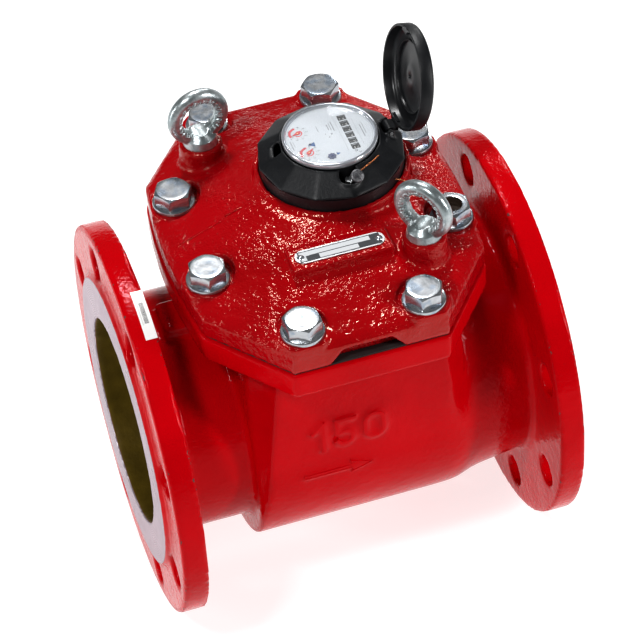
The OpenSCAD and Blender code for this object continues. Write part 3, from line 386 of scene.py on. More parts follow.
def clear_lens(name):
    """Clear glass: mostly see-through, with a mirror sheen that grows to the edge."""
    f = Finish(name, roughness=0.04, base_color=(0.95, 0.98, 1.0, 1), ior=1.45, specular_ior_level=0.8)
    smear = f.noise(55, 3, 0.6)
    # The sheen is partly painted: towards glancing view the near-white base colour turns opaque, as painted
    # reflection, beside the real specular one
    rim = f.node("ShaderNodeLayerWeight", None, {"Blend": 0.25}, output="Facing")
    f.feed(Alpha=0.07 + 0.5 * rim ** 3 + 0.03 * smear, Normal=f.bump(smear, 0.00012, 0.25))
    return f.material


def acrylic_rim(name):
    """Bright crimped ring under the glass: polished with fine turning lines."""
    f = Finish(name, coat_weight=0.7, coat_roughness=0.05)
    x, y, z = f.axes()
    rings = (z * 9000).math("SINE") * 0.5 + 0.5
    cloud = f.noise(130, 3)
    colour = f.mix(rings * 0.5 + cloud * 0.5, (0.42, 0.45, 0.50), (0.84, 0.86, 0.90))
    return f.feed(Base_Color=colour, Roughness=0.12 + 0.12 * cloud, Metallic=0.55 + 0.2 * cloud,
                  Normal=f.bump(rings, 0.00004, 0.4))


label_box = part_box("flange_label")
plate_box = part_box("nameplate")
FINISH = {
    "red_paint": red_enamel("red_enamel_cover_painted_shade", False),
    "gasket_rubber": soft_rubber("gasket_rubber"),
    "zinc_steel": bright_zinc("bright_zinc"),
    "galvanised_steel": galvanised("galvanised_forging"),
    "plate_metal": plate_print("plate_print", *plate_box),
    "rivet_metal": bright_zinc("rivet_aluminium", (0.86, 0.86, 0.86), 500),
    "label_paper": paper_label("paper_label", *label_box),
    "grey_plastic": moulded_plastic("insert_grey", (0.16, 0.17, 0.18), rough=0.45),
    "white_plastic": moulded_plastic("rotor_white", (0.70, 0.69, 0.64), rough=0.4, spread=0.1),
    "bare_steel": plain_steel("turned_steel", (0.62, 0.63, 0.64)),
    "brass": brass_finish("machined_brass"),
    "magnet": moulded_plastic("magnet_dark", (0.03, 0.03, 0.034), rough=0.4),
    # The copper can is coloured near-black, not copper: painted shade where it shows
    "can_copper": plain_steel("can_painted_shade", (0.05, 0.05, 0.055), 0.4),
    "base_plastic": moulded_plastic("base_black", (0.012, 0.013, 0.015), 700, rough=0.36, spread=0.3, coat=0.15),
    "drum_plastic": moulded_plastic("drum_black", (0.012, 0.012, 0.013), rough=0.35, spread=0.1),
    "dial_white": shaded_dial_card("shaded_dial_card"),
    "hand_red": ink("pointer_red", (0.62, 0.02, 0.03), 0.3),
    "star_blue": ink("star_blue", (0.015, 0.03, 0.12), 0.3),
    "lens_glass": clear_lens("clear_lens"),
    "lens_rim": acrylic_rim("lens_rim"),
    "black_plastic": moulded_plastic("charcoal_plastic", (0.005, 0.006, 0.008), 420, 0.00018, 0.42, 0.2, 0.0),
    "lead": dull_lead("crimped_lead"),
    "copper": copper_wire("copper_wire"),
}
body_enamel = red_enamel("red_enamel_body", True)
lid_inside = moulded_plastic("lid_inside", (0.007, 0.008, 0.010), 260, 0.00004, 0.32, 0.2, 0.1)
red_ink = ink("red_ink", (0.62, 0.03, 0.05))
blue_ink = ink("blue_ink", (0.02, 0.10, 0.30))
black_ink = ink("black_ink", (0.012, 0.012, 0.014))
grey_ink = ink("grey_ink", (0.30, 0.31, 0.33))
# Dark brown for the lining of the hollow bolt's recess: painted shade
pocket_painted_shade = ink("pocket_painted_shade", (0.050, 0.028, 0.016), 0.6)
white_ink = ink("white_ink", (0.86, 0.86, 0.84))

slot_of = {s["node"]: s["material_slot"] for s in frame["record"]["subparts"]}
for name, cad in nodes.items():
    for cell in cad.material_slots:
        cell.material = FINISH[slot_of[name]]


# ---------------------------------------------------------------- mesh helpers

def piece(name, verts, faces, material, body="meter", stands_for=(), smooth=True, sharp=None):
    """A mesh piece from points in millimetres, in the row frame, that rides on a body."""
    mesh = bpy.data.meshes.new(name)
    mesh.from_pydata([Vector(v) * MM for v in verts], [], faces)
    obj = bpy.data.objects.new(name, mesh)
    scene.collection.objects.link(obj)
    bm = bmesh.new()
    bm.from_mesh(mesh)
    bmesh.ops.remove_doubles(bm, verts=bm.verts, dist=1e-7)
    bmesh.ops.recalc_face_normals(bm, faces=bm.faces)
    bm.to_mesh(mesh)
    bm.free()
    dress(obj, material, body, stands_for, smooth, sharp)
    return obj


def dress(obj, material, body, stands_for=(), smooth=True, sharp=None):
    obj.data.materials.clear()
    obj.data.materials.append(material)
    for polygon in obj.data.polygons:
        polygon.use_smooth = smooth
    if sharp:
        with bpy.context.temp_override(object=obj, selected_editable_objects=[obj]):
            bpy.ops.object.shade_smooth_by_angle(angle=math.radians(sharp))
    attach(obj, body)
    if stands_for:
        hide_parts(*stands_for)


class Heap:
    """Points and faces of several shapes gathered into one mesh."""

    def __init__(self):
        self.verts = []
        self.faces = []

    def add(self, verts, faces, matrix=None):
        start = len(self.verts)
        self.verts += [matrix @ Vector(v) if matrix else Vector(v) for v in verts]
        self.faces += [[start + i for i in face] for face in faces]
        return self

    def lathe(self, profile, matrix=None, steps=64, closed=False):
        """Turns (radius, height) points about the local Z axis."""
        ring = [(r * math.cos(a), r * math.sin(a), h) for r, h in profile
                for a in [2 * math.pi * k / steps for k in range(steps)]]
        rows = len(profile)
        last = rows if closed else rows - 1
        faces = [[i * steps + k, i * steps + (k + 1) % steps,
                  ((i + 1) % rows) * steps + (k + 1) % steps, ((i + 1) % rows) * steps + k]
                 for i in range(last) for k in range(steps)]
        return self.add(ring, faces, matrix)

    def slab(self, outline, z0, z1, matrix=None):
        """A flat plate from an outline of (x, y) points."""
        n = len(outline)
        verts = [(x, y, z0) for x, y in outline] + [(x, y, z1) for x, y in outline]
        faces = [list(range(n - 1, -1, -1)), list(range(n, 2 * n))]
        faces += [[i, (i + 1) % n, n + (i + 1) % n, n + i] for i in range(n)]
        return self.add(verts, faces, matrix)

    def block(self, low, high, matrix=None):
        (x0, y0, z0), (x1, y1, z1) = low, high
        return self.slab([(x0, y0), (x1, y0), (x1, y1), (x0, y1)], z0, z1, matrix)

    def tube(self, path, radius, sides=10):
        """A round wire along points, with closed ends."""
        points = [Vector(p) for p in path]
        n = len(points)
        verts = []
        side = Vector((0.3, 0.2, 1))
        for i, p in enumerate(points):
            along = (points[min(n - 1, i + 1)] - points[max(0, i - 1)]).normalized()
            a = along.cross(side).normalized()
            b = along.cross(a)
            verts += [p + radius * (a * math.cos(t) + b * math.sin(t))
                      for t in [2 * math.pi * k / sides for k in range(sides)]]
        faces = [[i * sides + k, i * sides + (k + 1) % sides, (i + 1) * sides + (k + 1) % sides, (i + 1) * sides + k]
                 for i in range(n - 1) for k in range(sides)]
        faces += [list(range(sides - 1, -1, -1)), [(n - 1) * sides + k for k in range(sides)]]
        return self.add(verts, faces)


def moved(x=0, y=0, z=0, turn=0.0, about="Z"):
    return Matrix.Translation((x, y, z)) @ Matrix.Rotation(math.radians(turn), 4, about)


def baked_modifiers(obj):
    """Replaces the object's mesh with what its modifiers make of it."""
    graph = bpy.context.evaluated_depsgraph_get()
    mesh = bpy.data.meshes.new_from_object(obj.evaluated_get(graph))
    obj.modifiers.clear()
    obj.data = mesh


def softened(obj, voxel, passes, factor=0.5):
    """Remeshes a solid evenly and rounds its corners, as a casting or moulding has them."""
    remesh = obj.modifiers.new("even", "REMESH")
    remesh.mode = "VOXEL"
    remesh.voxel_size = voxel * MM
    smooth = obj.modifiers.new("round", "SMOOTH")
    smooth.factor = factor
    smooth.iterations = passes
    baked_modifiers(obj)
    return obj


def cad_copy(node, name):
    obj = bpy.data.objects.new(name, nodes[node].data.copy())
    scene.collection.objects.link(obj)
    return obj


def joined(name, parts):
    """One object from several."""
    bm = bmesh.new()
    for part in parts:
        bm.from_mesh(part.data)
        bpy.data.objects.remove(part)
    mesh = bpy.data.meshes.new(name)
    bm.to_mesh(mesh)
    bm.free()
    obj = bpy.data.objects.new(name, mesh)
    scene.collection.objects.link(obj)
    return obj


# ---------------------------------------------------------------- castings

CHAMBER_X1 = 228.0
CHAMBER_FRONT = -101.4


def blended(obj, weight, passes):
    """Smooths a mesh further where weight(point in millimetres) is above zero."""
    group = obj.vertex_groups.new(name="blend")
    for v in obj.data.vertices:
        w = weight(v.co / MM)
        if w > 0:
            group.add([v.index], w, "REPLACE")
    smooth = obj.modifiers.new("blend", "SMOOTH")
    smooth.vertex_group, smooth.factor, smooth.iterations = "blend", 0.5, passes
    baked_modifiers(obj)


body_skin = softened(cad_copy("body_casting", "body_skin"), 2.1, 3)
outlet_shoulder = CHAMBER_X1 - 2
blended(body_skin, lambda p: max(0.0, min(1.0, (24 - abs(p.x - outlet_shoulder)) / 10))
        * max(0.0, min(1.0, (55 - p.z) / 25)) * (math.hypot(p.y, p.z) > 84), 120)
dress(body_skin, body_enamel, "meter", ["body_casting"])
cover_skin = softened(cad_copy("cover_casting", "cover_skin"), 1.5, 2)
dress(cover_skin, FINISH["red_paint"], "meter", ["cover_casting"])


def islands(node):
    """Lowest and highest corner of each separate solid of a CAD node, in millimetres."""
    bm = bmesh.new()
    bm.from_mesh(nodes[node].data)
    bmesh.ops.remove_doubles(bm, verts=bm.verts, dist=1e-6)
    bm.verts.ensure_lookup_table()
    seen, boxes = set(), []
    for start in bm.verts:
        if start.index in seen:
            continue
        seen.add(start.index)
        stack, points = [start], []
        while stack:
            v = stack.pop()
            points.append(v.co / MM)
            for e in v.link_edges:
                w = e.other_vert(v)
                if w.index not in seen:
                    seen.add(w.index)
                    stack.append(w)
        boxes.append((Vector(map(min, zip(*points))), Vector(map(max, zip(*points)))))
    bm.free()
    return boxes


def ray_down(obj):
    """A function from x, y to the height of the object's top surface, in millimetres."""
    tree = BVHTree.FromPolygons([v.co for v in obj.data.vertices], [list(p.vertices) for p in obj.data.polygons])

    def height(x, y):
        hit = tree.ray_cast(Vector((x, y, 400)) * MM, Vector((0, 0, -1)))[0]
        return hit and hit.z / MM
    return height


cover_top = ray_down(cover_skin)


class Marks(Heap):
    """Raised strokes on the chamber's front, drawn in (along the pipe, up) millimetres."""

    def path(self, points, width, rise=2.1, loop=False):
        """One stroke with eased edges that follows the points and mitres its corners."""
        q = [Vector(p) for p in points]
        n = len(q)
        section = ((-0.5, -1.0), (-0.5, rise * 0.5), (-0.42, rise * 0.86), (-0.26, rise), (0.26, rise),
                   (0.42, rise * 0.86), (0.5, rise * 0.5), (0.5, -1.0))
        m = len(section)
        verts = []
        for i in range(n):
            before = q[i - 1] if i or loop else q[0] * 2 - q[1]
            after = q[(i + 1) % n] if i < n - 1 or loop else q[-1] * 2 - q[-2]
            d0, d1 = (q[i] - before).normalized(), (after - q[i]).normalized()
            out = Vector((-(d0 + d1).y, (d0 + d1).x)).normalized()
            reach = width / max(0.6, out.dot(Vector((-d1.y, d1.x))))
            past = 0 if loop else (i == n - 1) - (i == 0)
            for across, high in section:
                c = q[i] + out * across * reach + d1 * width / 2 * past
                verts.append((c.x, CHAMBER_FRONT - high, c.y))
        rows = n if loop else n - 1
        faces = [[i * m + k, i * m + (k + 1) % m, (i + 1) % n * m + (k + 1) % m, (i + 1) % n * m + k]
                 for i in range(rows) for k in range(m)]
        if not loop:
            faces += [list(range(m)), list(range(n * m - 1, (n - 1) * m - 1, -1))]
        return self.add(verts, faces)


def bend(cx, cz, rx, rz, a0, a1, steps=22):
    return [(cx + rx * math.cos(math.radians(a0 + (a1 - a0) * k / steps)),
             cz + rz * math.sin(math.radians(a0 + (a1 - a0) * k / steps))) for k in range(steps + 1)]


H, W = 24.0, 4.1
u0, v0 = 119.0, 27.0
cast = Marks()
cast.path([(u0 - H * 0.28, v0 + H * 0.74), (u0, v0 + H), (u0, v0)], W)
five = u0 + H * 0.42
cast.path([(five + H * 0.5, v0 + H), (five, v0 + H), (five, v0 + H * 0.50)]
          + bend(five + H * 0.22, v0 + H * 0.29, H * 0.245, H * 0.245, 130, -150), W)
nought = bend(u0 + H * 1.55, v0 + H * 0.67, H * 0.275, H * 0.275, 0, 180)
nought += bend(u0 + H * 1.55, v0 + H * 0.33, H * 0.275, H * 0.275, 180, 360)
cast.path(nought, W, loop=True)
cast.path([(104, 2.7), (139, 2.7), (138, -1), (153, 4), (138, 9), (139, 5.3), (104, 5.3)], 1.1, loop=True)
piece("cast_marks", cast.verts, cast.faces, body_enamel, sharp=35)


def centre(node):
    low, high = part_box(node)
    return (low + high) / 2 / MM


# Seam of the casting halves, a thin bead and a raised one beside it
seam = Heap()
for y, x0, x1, radius in ((-1.2, 55, 86, 0.8), (1.4, 89, 102, 1.3), (-0.4, 196, 240, 0.8)):
    line = [(x, y, cover_top(x, y)) for x in np.arange(x0, x1, 1.5)]
    seam.tube([(x, y, z - 0.15) for x, y, z in line if z and z > 150], radius, 8)
piece("cover_seam", seam.verts, seam.faces, FINISH["red_paint"])


# ---------------------------------------------------------------- bolts

FLATS = 24.0
CHAMFER_R = 0.475 * FLATS
CHAMFER_SLOPE = math.tan(math.radians(30))
HEAD_ANGLES = [sector * 60 + step for sector in range(6) for step in (0, 1.5, 5, 12, 21, 30, 39, 48, 55, 58.5)]


def hex_reach(angle):
    """Distance from the axis to the hexagon's edge, with its corners eased."""
    off = (angle % 60) - 30
    return min(FLATS / 2 / math.cos(math.radians(off)), FLATS / math.sqrt(3) - 0.18)


def bolt_head(heap, x, y, base, height, turn, hollow=0.0):
    rows = []
    reach = [hex_reach(a) for a in HEAD_ANGLES]
    n = len(reach)

    def row(radii, heights):
        rows.append([(r * math.cos(math.radians(a)), r * math.sin(math.radians(a)), h)
                     for a, r, h in zip(HEAD_ANGLES, radii, heights)])

    row([r - 0.5 for r in reach], [0] * n)
    row([r - 0.12 for r in reach], [0.12] * n)
    row(reach, [0.5] * n)
    drop = [height - max(0.0, r - CHAMFER_R) * CHAMFER_SLOPE for r in reach]
    row(reach, [d - 0.25 for d in drop])
    row([r - 0.1 for r in reach], [d - 0.02 for d in drop])
    row([CHAMFER_R + 0.1] * n, [height - 0.06] * n)
    row([CHAMFER_R - 0.25] * n, [height] * n)
    if hollow:
        for r, h in ((hollow + 0.7, height), (hollow + 0.2, height - 0.15), (hollow, height - 0.6),
                     (hollow, height - 5.6), (hollow - 0.5, height - 6), (3.0, height - 6.1), (0.05, height - 6.1)):
            row([r] * n, [h] * n)
    else:
        for r, h in ((8.2, height - 0.03), (5.2, height - 0.10), (2.4, height - 0.05), (0.05, height - 0.05)):
            row([r] * n, [h] * n)
    verts = [v for r in rows for v in r]
    faces = [[i * n + k, i * n + (k + 1) % n, (i + 1) * n + (k + 1) % n, (i + 1) * n + k]
             for i in range(len(rows) - 1) for k in range(n)]
    heap.add(verts, faces, moved(x, y, base, turn))


washers = sorted(islands("cover_washers"), key=lambda b: (round(b[0].x), round(b[0].y)))
seal_mid = centre("seal_bolt")
bolt_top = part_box("seal_bolt")[1].z / MM
head_base = washers[0][1].z
bolts, hollow_bolt = Heap(), Heap()
shank_profile = [(7.3, -36), (7.85, -35.3), (7.85, 0.2), (0.1, 0.2)]
TURNS = (20, 4, 33, 12, 8, 47, 25, 16)
for (low, high), turn in zip(washers, TURNS):
    x, y = (low.x + high.x) / 2, (low.y + high.y) / 2
    hollow = abs(x - seal_mid.x) < 2 and abs(y - seal_mid.y) < 2
    heap = hollow_bolt if hollow else bolts
    bolt_head(heap, x, y, head_base, bolt_top - head_base, turn, 7.5 if hollow else 0.0)
    heap.lathe([(0.1, -36)] + shank_profile, moved(x, y, head_base), 32)
piece("bolts", bolts.verts, bolts.faces, FINISH["zinc_steel"], stands_for=["cover_bolts"], sharp=28)
cup_top = bolt_top - 0.7
# A dark cup lines the hollow head: painted shade in the recess
cup = Heap().lathe([(7.46, cup_top), (7.40, cup_top - 4.6), (6.9, cup_top - 5.2), (0.05, cup_top - 5.3)],
                   moved(seal_mid.x, seal_mid.y), 48)
piece("hollow_bolt_cup", cup.verts, cup.faces, pocket_painted_shade, sharp=40)
piece("hollow_bolt", hollow_bolt.verts, hollow_bolt.faces, FINISH["zinc_steel"],
      stands_for=["seal_bolt"], sharp=28)

rings = Heap()
for low, high in washers:
    x, y, base, top = (low.x + high.x) / 2, (low.y + high.y) / 2, low.z, high.z
    outer = (high.x - low.x) / 2
    rings.lathe([(8.6, base), (outer - 0.5, base), (outer, base + 0.5), (outer, top - 0.9), (outer - 0.25, top - 0.3),
                 (outer - 0.9, top), (8.9, top), (8.6, top - 0.3)], moved(x, y), 72, closed=True)
piece("washers", rings.verts, rings.faces, FINISH["zinc_steel"], stands_for=["cover_washers"], sharp=40)


# ---------------------------------------------------------------- eyebolts

RING_R, WIRE_R = 17.5, 5.0
RING_TURNS = {0: 8, 1: -52}
random.seed(7)
marks = Heap()
for k, (low, high) in enumerate(sorted(islands("eyebolts"), key=lambda b: b[0].x)):
    mid = (low + high) / 2
    place = moved(mid.x, mid.y, high.z - RING_R - WIRE_R, RING_TURNS[k]) @ Matrix.Rotation(math.radians(90), 4, "X")
    for side in (-1, 1):
        for a in range(-58, 240, 9):
            lean = Matrix.Rotation(math.radians(random.uniform(-25, 25)), 4, "Z")
            at = Matrix.Rotation(math.radians(a + random.uniform(-2, 2)), 4, "Z") @ Matrix.Translation((RING_R, 0, 0))
            half = random.uniform(1.5, 2.4)
            tilt = Matrix.Rotation(math.radians(-34 * side), 4, "Y")
            z0, z1 = (3.6, 5.75) if side > 0 else (-5.75, -3.6)
            marks.block((-half, -0.5, z0), (half, 0.5, z1), place @ at @ tilt @ lean)
mark_piece = bpy.data.objects.new("marks", bpy.data.meshes.new("marks"))
mark_piece.data.from_pydata([v * MM for v in marks.verts], [], marks.faces)
scene.collection.objects.link(mark_piece)
rings_piece = softened(joined("eyebolt_rings", [cad_copy("eyebolts", "eyebolt_copy"), mark_piece]), 0.5, 1)
dress(rings_piece, FINISH["galvanised_steel"], "meter", ["eyebolts"])


# ---------------------------------------------------------------- register

reg = centre("lens_ring")
dial_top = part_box("dial_plate")[1].z / MM
at_reg = moved(reg.x, reg.y, 0)

shroud_skin = softened(cad_copy("shroud", "shroud_skin"), 0.7, 30)
dress(shroud_skin, FINISH["black_plastic"], "meter", ["shroud"])

bezel_low, bezel_high = [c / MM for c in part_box("lens_ring")]
bezel_r = (bezel_high.x - bezel_low.x) / 2
z0, z1 = bezel_low.z, bezel_high.z
bezel = Heap().lathe([
    (bezel_r - 1.9, z0), (bezel_r - 0.1, z0), (bezel_r, z0 + 0.3), (bezel_r, z1 - 1.2), (bezel_r - 0.25, z1 - 0.5),
    (bezel_r - 0.9, z1 - 0.05), (bezel_r - 1.6, z1), (bezel_r - 2.0, z1 - 0.2), (bezel_r - 2.2, z1 - 0.7),
    (bezel_r - 2.3, z1 - 1.3), (bezel_r - 2.7, z1 - 1.6), (bezel_r - 2.9, z1 - 2.2), (bezel_r - 2.9, z1 - 2.9),
    (bezel_r - 1.9, z1 - 3.0)], at_reg, 128, closed=True)
piece("lens_bezel", bezel.verts, bezel.faces, FINISH["lens_rim"], stands_for=["lens_ring"], sharp=50)

lens_low, lens_high = [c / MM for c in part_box("lens")]
lens_r = (lens_high.x - lens_low.x) / 2 - 0.4
dome = Heap().lathe([(0.05, lens_low.z + 0.1), (lens_r - 1, lens_low.z + 0.1), (lens_r, lens_low.z + 0.5),
                     (lens_r - 0.3, lens_low.z + 1.0)]
                    + [(lens_r * math.cos(t), lens_high.z - 0.2 + 0.9 * math.sin(t))
                       for t in np.linspace(0.25, math.pi / 2 - 0.01, 10)], at_reg, 96)
piece("lens_dome", dome.verts, dome.faces, FINISH["lens_glass"], stands_for=["lens"], sharp=60)

DIGITS = {
    "0": [[(0, 1), (0, 5), (1, 6), (3, 6), (4, 5), (4, 1), (3, 0), (1, 0), (0, 1)]],
    "1": [[(1, 5), (2, 6), (2, 0)], [(1, 0), (3, 0)]],
    "2": [[(0, 5), (1, 6), (3, 6), (4, 5), (4, 4), (0, 0), (4, 0)]],
    "3": [[(0, 6), (4, 6), (2, 3.6), (3.4, 3.4), (4, 2.4), (4, 1), (3, 0), (1, 0), (0, 1)]],
    "4": [[(3, 0), (3, 6), (0, 2), (4, 2)]],
    "5": [[(4, 6), (0.3, 6), (0, 3.4), (3, 3.6), (4, 2.6), (4, 1), (3, 0), (1, 0), (0, 0.8)]],
    "6": [[(3.6, 6), (1, 4.5), (0, 2.5), (0, 1), (1, 0), (3, 0), (4, 1), (4, 2.4), (3, 3.4), (1, 3.4), (0, 2.2)]],
    "7": [[(0, 6), (4, 6), (1.4, 0)]],
    "8": [[(1, 3.2), (0, 4.2), (0, 5), (1, 6), (3, 6), (4, 5), (4, 4.2), (3, 3.2), (1, 3.2), (0, 2.2), (0, 1),
           (1, 0), (3, 0), (4, 1), (4, 2.2), (3, 3.2)]],
    "9": [[(0.4, 0), (3, 1.5), (4, 3.5), (4, 5), (3, 6), (1, 6), (0, 5), (0, 3.6), (1, 2.6), (3, 2.6), (4, 3.8)]],
    "m": [[(0, 0), (0, 4)], [(0, 3.2), (1, 4), (2, 3.2), (2, 0)], [(2, 3.2), (3, 4), (4, 3.2), (4, 0)]],
}


def strokes(text, height, weight, wrap):
    """Flat quads of a figure's strokes; wrap(u, v) gives a point for u to the right and v upwards."""
    unit = height / 6
    verts, faces = [], []
    for line in DIGITS[text]:
        points = [Vector(((u - 2) * unit, (v - 3) * unit)) for u, v in line]
        for a, b in zip(points, points[1:]):
            along = (b - a).normalized() * weight / 2
            out = Vector((-along.y, along.x))
            start = len(verts)
            corners = (a - along + out, a - along - out, b + along - out, b + along + out)
            verts += [wrap(c.x, c.y) for c in corners]
            faces.append([start, start + 1, start + 2, start + 3])
    return verts, faces


# Number drums: the reader stands upstream, so figures read along -Y with their tops towards +X
SHOWN = (4, 2, 7, 1, 0, 0)
for i, shown in enumerate(SHOWN, 1):
    low, high = [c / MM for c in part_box(f"drum_{i}")]
    mid = (low + high) / 2
    radius = (high.z - low.z) / 2
    figures = Heap()
    for digit in range(10):
        turn = -math.radians(36) * (digit - shown)

        def wrap(u, v, turn=turn, mid=mid, radius=radius):
            angle = turn + v / radius
            r = radius + 0.04
            return (mid.x + r * math.sin(angle), mid.y - 0.4 - u, mid.z + r * math.cos(angle))
        figures.add(*strokes(str(digit), 2.9, 0.42, wrap))
    piece(f"drum_{i}_figures", figures.verts, figures.faces, white_ink, f"drum_{i}")


class Dial:
    """Prints on the dial. Points are (x, y) from the register's centre."""

    def __init__(self, name, material):
        self.name, self.material, self.heap = name, material, Heap()

    def shape(self, outline, lift=0.03):
        self.heap.slab(outline, dial_top + lift - 0.02, dial_top + lift, at_reg)
        return self

    def arc(self, x, y, r0, r1, a0, a1, steps=40):
        angles = [math.radians(a0 + (a1 - a0) * k / steps) for k in range(steps + 1)]
        verts = [(x + r * math.cos(a), y + r * math.sin(a), dial_top + 0.03) for r in (r0, r1) for a in angles]
        n = len(angles)
        self.heap.add(verts, [[k, k + 1, n + k + 1, n + k] for k in range(n - 1)], at_reg)
        return self

    def line(self, x0, y0, x1, y1, width=0.2):
        a, b = Vector((x0, y0)), Vector((x1, y1))
        out = (b - a).normalized() * width / 2
        out = Vector((-out.y, out.x))
        return self.shape([tuple(p) for p in (a + out, a - out, b - out, b + out)])

    def figure(self, text, x, y, height, weight=0.16):
        self.heap.add(*strokes(text, height, weight, lambda u, v: (x + v, y - u, dial_top + 0.03)), at_reg)
        return self

    def dot(self, x, y, r):
        return self.shape([(x + r * math.cos(t), y + r * math.sin(t)) for t in np.linspace(0, 6.1, 20)])

    def done(self, slot="dial_white"):
        piece(self.name, self.heap.verts, self.heap.faces, self.material)


SUB_DIALS = [centre(n) - reg for n in ("hundredths_gear", "tenths_gear")]
black = Dial("dial_black_print", black_ink)
red = Dial("dial_red_print", red_ink)
grey = Dial("dial_grey_print", grey_ink)
spots = [(v.x, v.y) for v in SUB_DIALS]
for x, y in spots:
    for k in range(10):
        a = math.radians(36 * k)
        black.line(x + 4.7 * math.cos(a), y + 4.7 * math.sin(a), x + 5.5 * math.cos(a), y + 5.5 * math.sin(a), 0.24)
        small = math.radians(36 * k + 18)
        black.line(x + 5.0 * math.cos(small), y + 5.0 * math.sin(small), x + 5.5 * math.cos(small),
                   y + 5.5 * math.sin(small), 0.12)
        black.figure(str(k), x + 6.6 * math.cos(-a), y + 6.6 * math.sin(-a), 1.25, 0.17)
    red.arc(x, y, 4.6, 6.4, 95, 205).arc(x, y, 2.6, 3.4, 230, 410)
win_x = centre("drum_1").x - reg.x
win_ys = [centre(f"drum_{i}").y - reg.y - 0.4 for i in range(1, 7)]
for y in win_ys:
    for x0, y0, x1, y1 in ((-2.9, -2.6, 2.9, -2.1), (-2.9, 2.1, 2.9, 2.6), (-2.9, -2.6, -1.9, 2.6),
                           (1.9, -2.6, 2.9, 2.6)):
        black.shape([(win_x + x0, y + y0), (win_x + x1, y + y0), (win_x + x1, y + y1), (win_x + x0, y + y1)])
black.figure("m", win_x - 0.6, min(win_ys) - 4.6, 2.6, 0.26).figure("3", win_x + 1.2, min(win_ys) - 6.6, 1.3, 0.18)
black.dot(2.0, 1.5, 0.5).dot(-0.4, -1.2, 0.42).dot(-2.2, 2.6, 0.3)
black.shape([(-16, -4.2), (-14.6, -4.2), (-14.6, -2.8), (-16, -2.8)])
grey.line(7.5, -19, 7.5, 19, 0.14).line(19.3, -16, 19.3, 14, 0.14)
for k, (x, y0, y1) in enumerate(((22.5, -9, 4), (24.2, -6, 6), (4.6, 4, 14), (2.9, 5, 13), (1.2, 6, 12), (-6, 6.5, 13),
                                 (-27.2, -6, 4), (-25.6, -3, 3))):
    grey.line(x, y0, x, y1, 0.32 if k % 2 else 0.5)
grey.arc(0, 0, 29.3, 29.5, 0, 360, 120)
for k in range(60):
    a = math.radians(6 * k)
    if 30 < (6 * k) % 360 < 330:
        grey.line(27.9 * math.cos(a), 27.9 * math.sin(a), 28.9 * math.cos(a), 28.9 * math.sin(a), 0.14)
for printed in (black, red, grey):
    printed.done()
star = centre("leak_star") - reg
blue = Dial("dial_blue_print", blue_ink)
blue.shape([(-12.4, -7.2), (-12.0, -2.4), (-17.2, -4.0)])
blue.shape([(star.x + 6.6, star.y + 1.6), (star.x + 3.9, star.y + 3.1), (star.x + 3.9, star.y + 0.1)])
blue.done()


def rosette(points, inner, outer):
    return [((outer if k % 2 == 0 else inner) * math.cos(math.pi * k / points),
             (outer if k % 2 == 0 else inner) * math.sin(math.pi * k / points)) for k in range(2 * points)]


star_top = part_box("leak_star")[0].z / MM
star_shape = Heap().slab(rosette(8, 2.3, 3.1), star_top, star_top + 0.55, moved(star.x + reg.x, star.y + reg.y))
star_shape.lathe([(0.05, star_top + 0.5), (1.1, star_top + 0.5), (1.0, star_top + 0.8), (0.05, star_top + 0.9)],
                 moved(star.x + reg.x, star.y + reg.y), 24)
piece("leak_rosette", star_shape.verts, star_shape.faces, FINISH["star_blue"], "star", ["leak_star"],
      sharp=30)


# ---------------------------------------------------------------- lid

hinge = Vector(joints["lid_hinge"]["pos_m"]) / MM
lid_open = -min(joints["lid_hinge"]["range_deg"])
as_open = Matrix.Translation(hinge) @ Matrix.Rotation(math.radians(lid_open), 4, "Y")
closed_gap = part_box("lens_ring")[0].z / MM + 0.4 - hinge.z
LID_DEPTH, LID_REACH = 10.0, 41.5
rim, top = closed_gap, closed_gap + LID_DEPTH
lid_mid = as_open @ moved(-LID_REACH, 0, 0)
outer = [(34.95, rim), (36.25, rim), (36.6, rim + 0.35), (36.6, rim + 7.0), (36.45, rim + 8.2), (35.9, rim + 9.1),
         (34.9, rim + 9.7), (33.5, top), (29, top + 0.1), (28.2, top - 0.25), (20, top - 0.1), (10, top),
         (0.05, top + 0.02)]
inner = [(0.05, top - 2.0), (1.15, top - 2.0), (1.2, top - 3.9), (1.5, top - 4.1), (7.0, top - 3.9), (9.0, top - 3.3),
         (12, top - 2.6), (18, top - 2.1), (23.2, top - 1.9), (24.1, top - 2.1), (24.4, top - 3.9), (24.7, top - 4.25),
         (25.2, top - 4.25), (25.5, top - 4.0), (25.8, top - 2.5), (27.5, top - 1.9), (31.0, top - 2.0),
         (33.4, top - 3.0), (34.5, top - 4.8), (34.7, rim + 0.3)]
shell = Heap().lathe(outer, lid_mid, 128).lathe(inner, lid_mid, 128)
last = (len(outer) + len(inner) - 1) * 128
shell.faces += [[k, (k + 1) % 128, last + (k + 1) % 128, last + k] for k in range(128)]
lid_shell = piece("lid_shell", shell.verts, shell.faces, FINISH["black_plastic"], "lid", ["lid"],
                  sharp=50)
lid_shell.data.materials.append(lid_inside)
into_lid = lid_mid.inverted()
for polygon in lid_shell.data.polygons:
    local = into_lid @ (polygon.center / MM)
    if math.hypot(local.x, local.y) < 34.85 and local.z < top - 1.0:
        polygon.material_index = 1

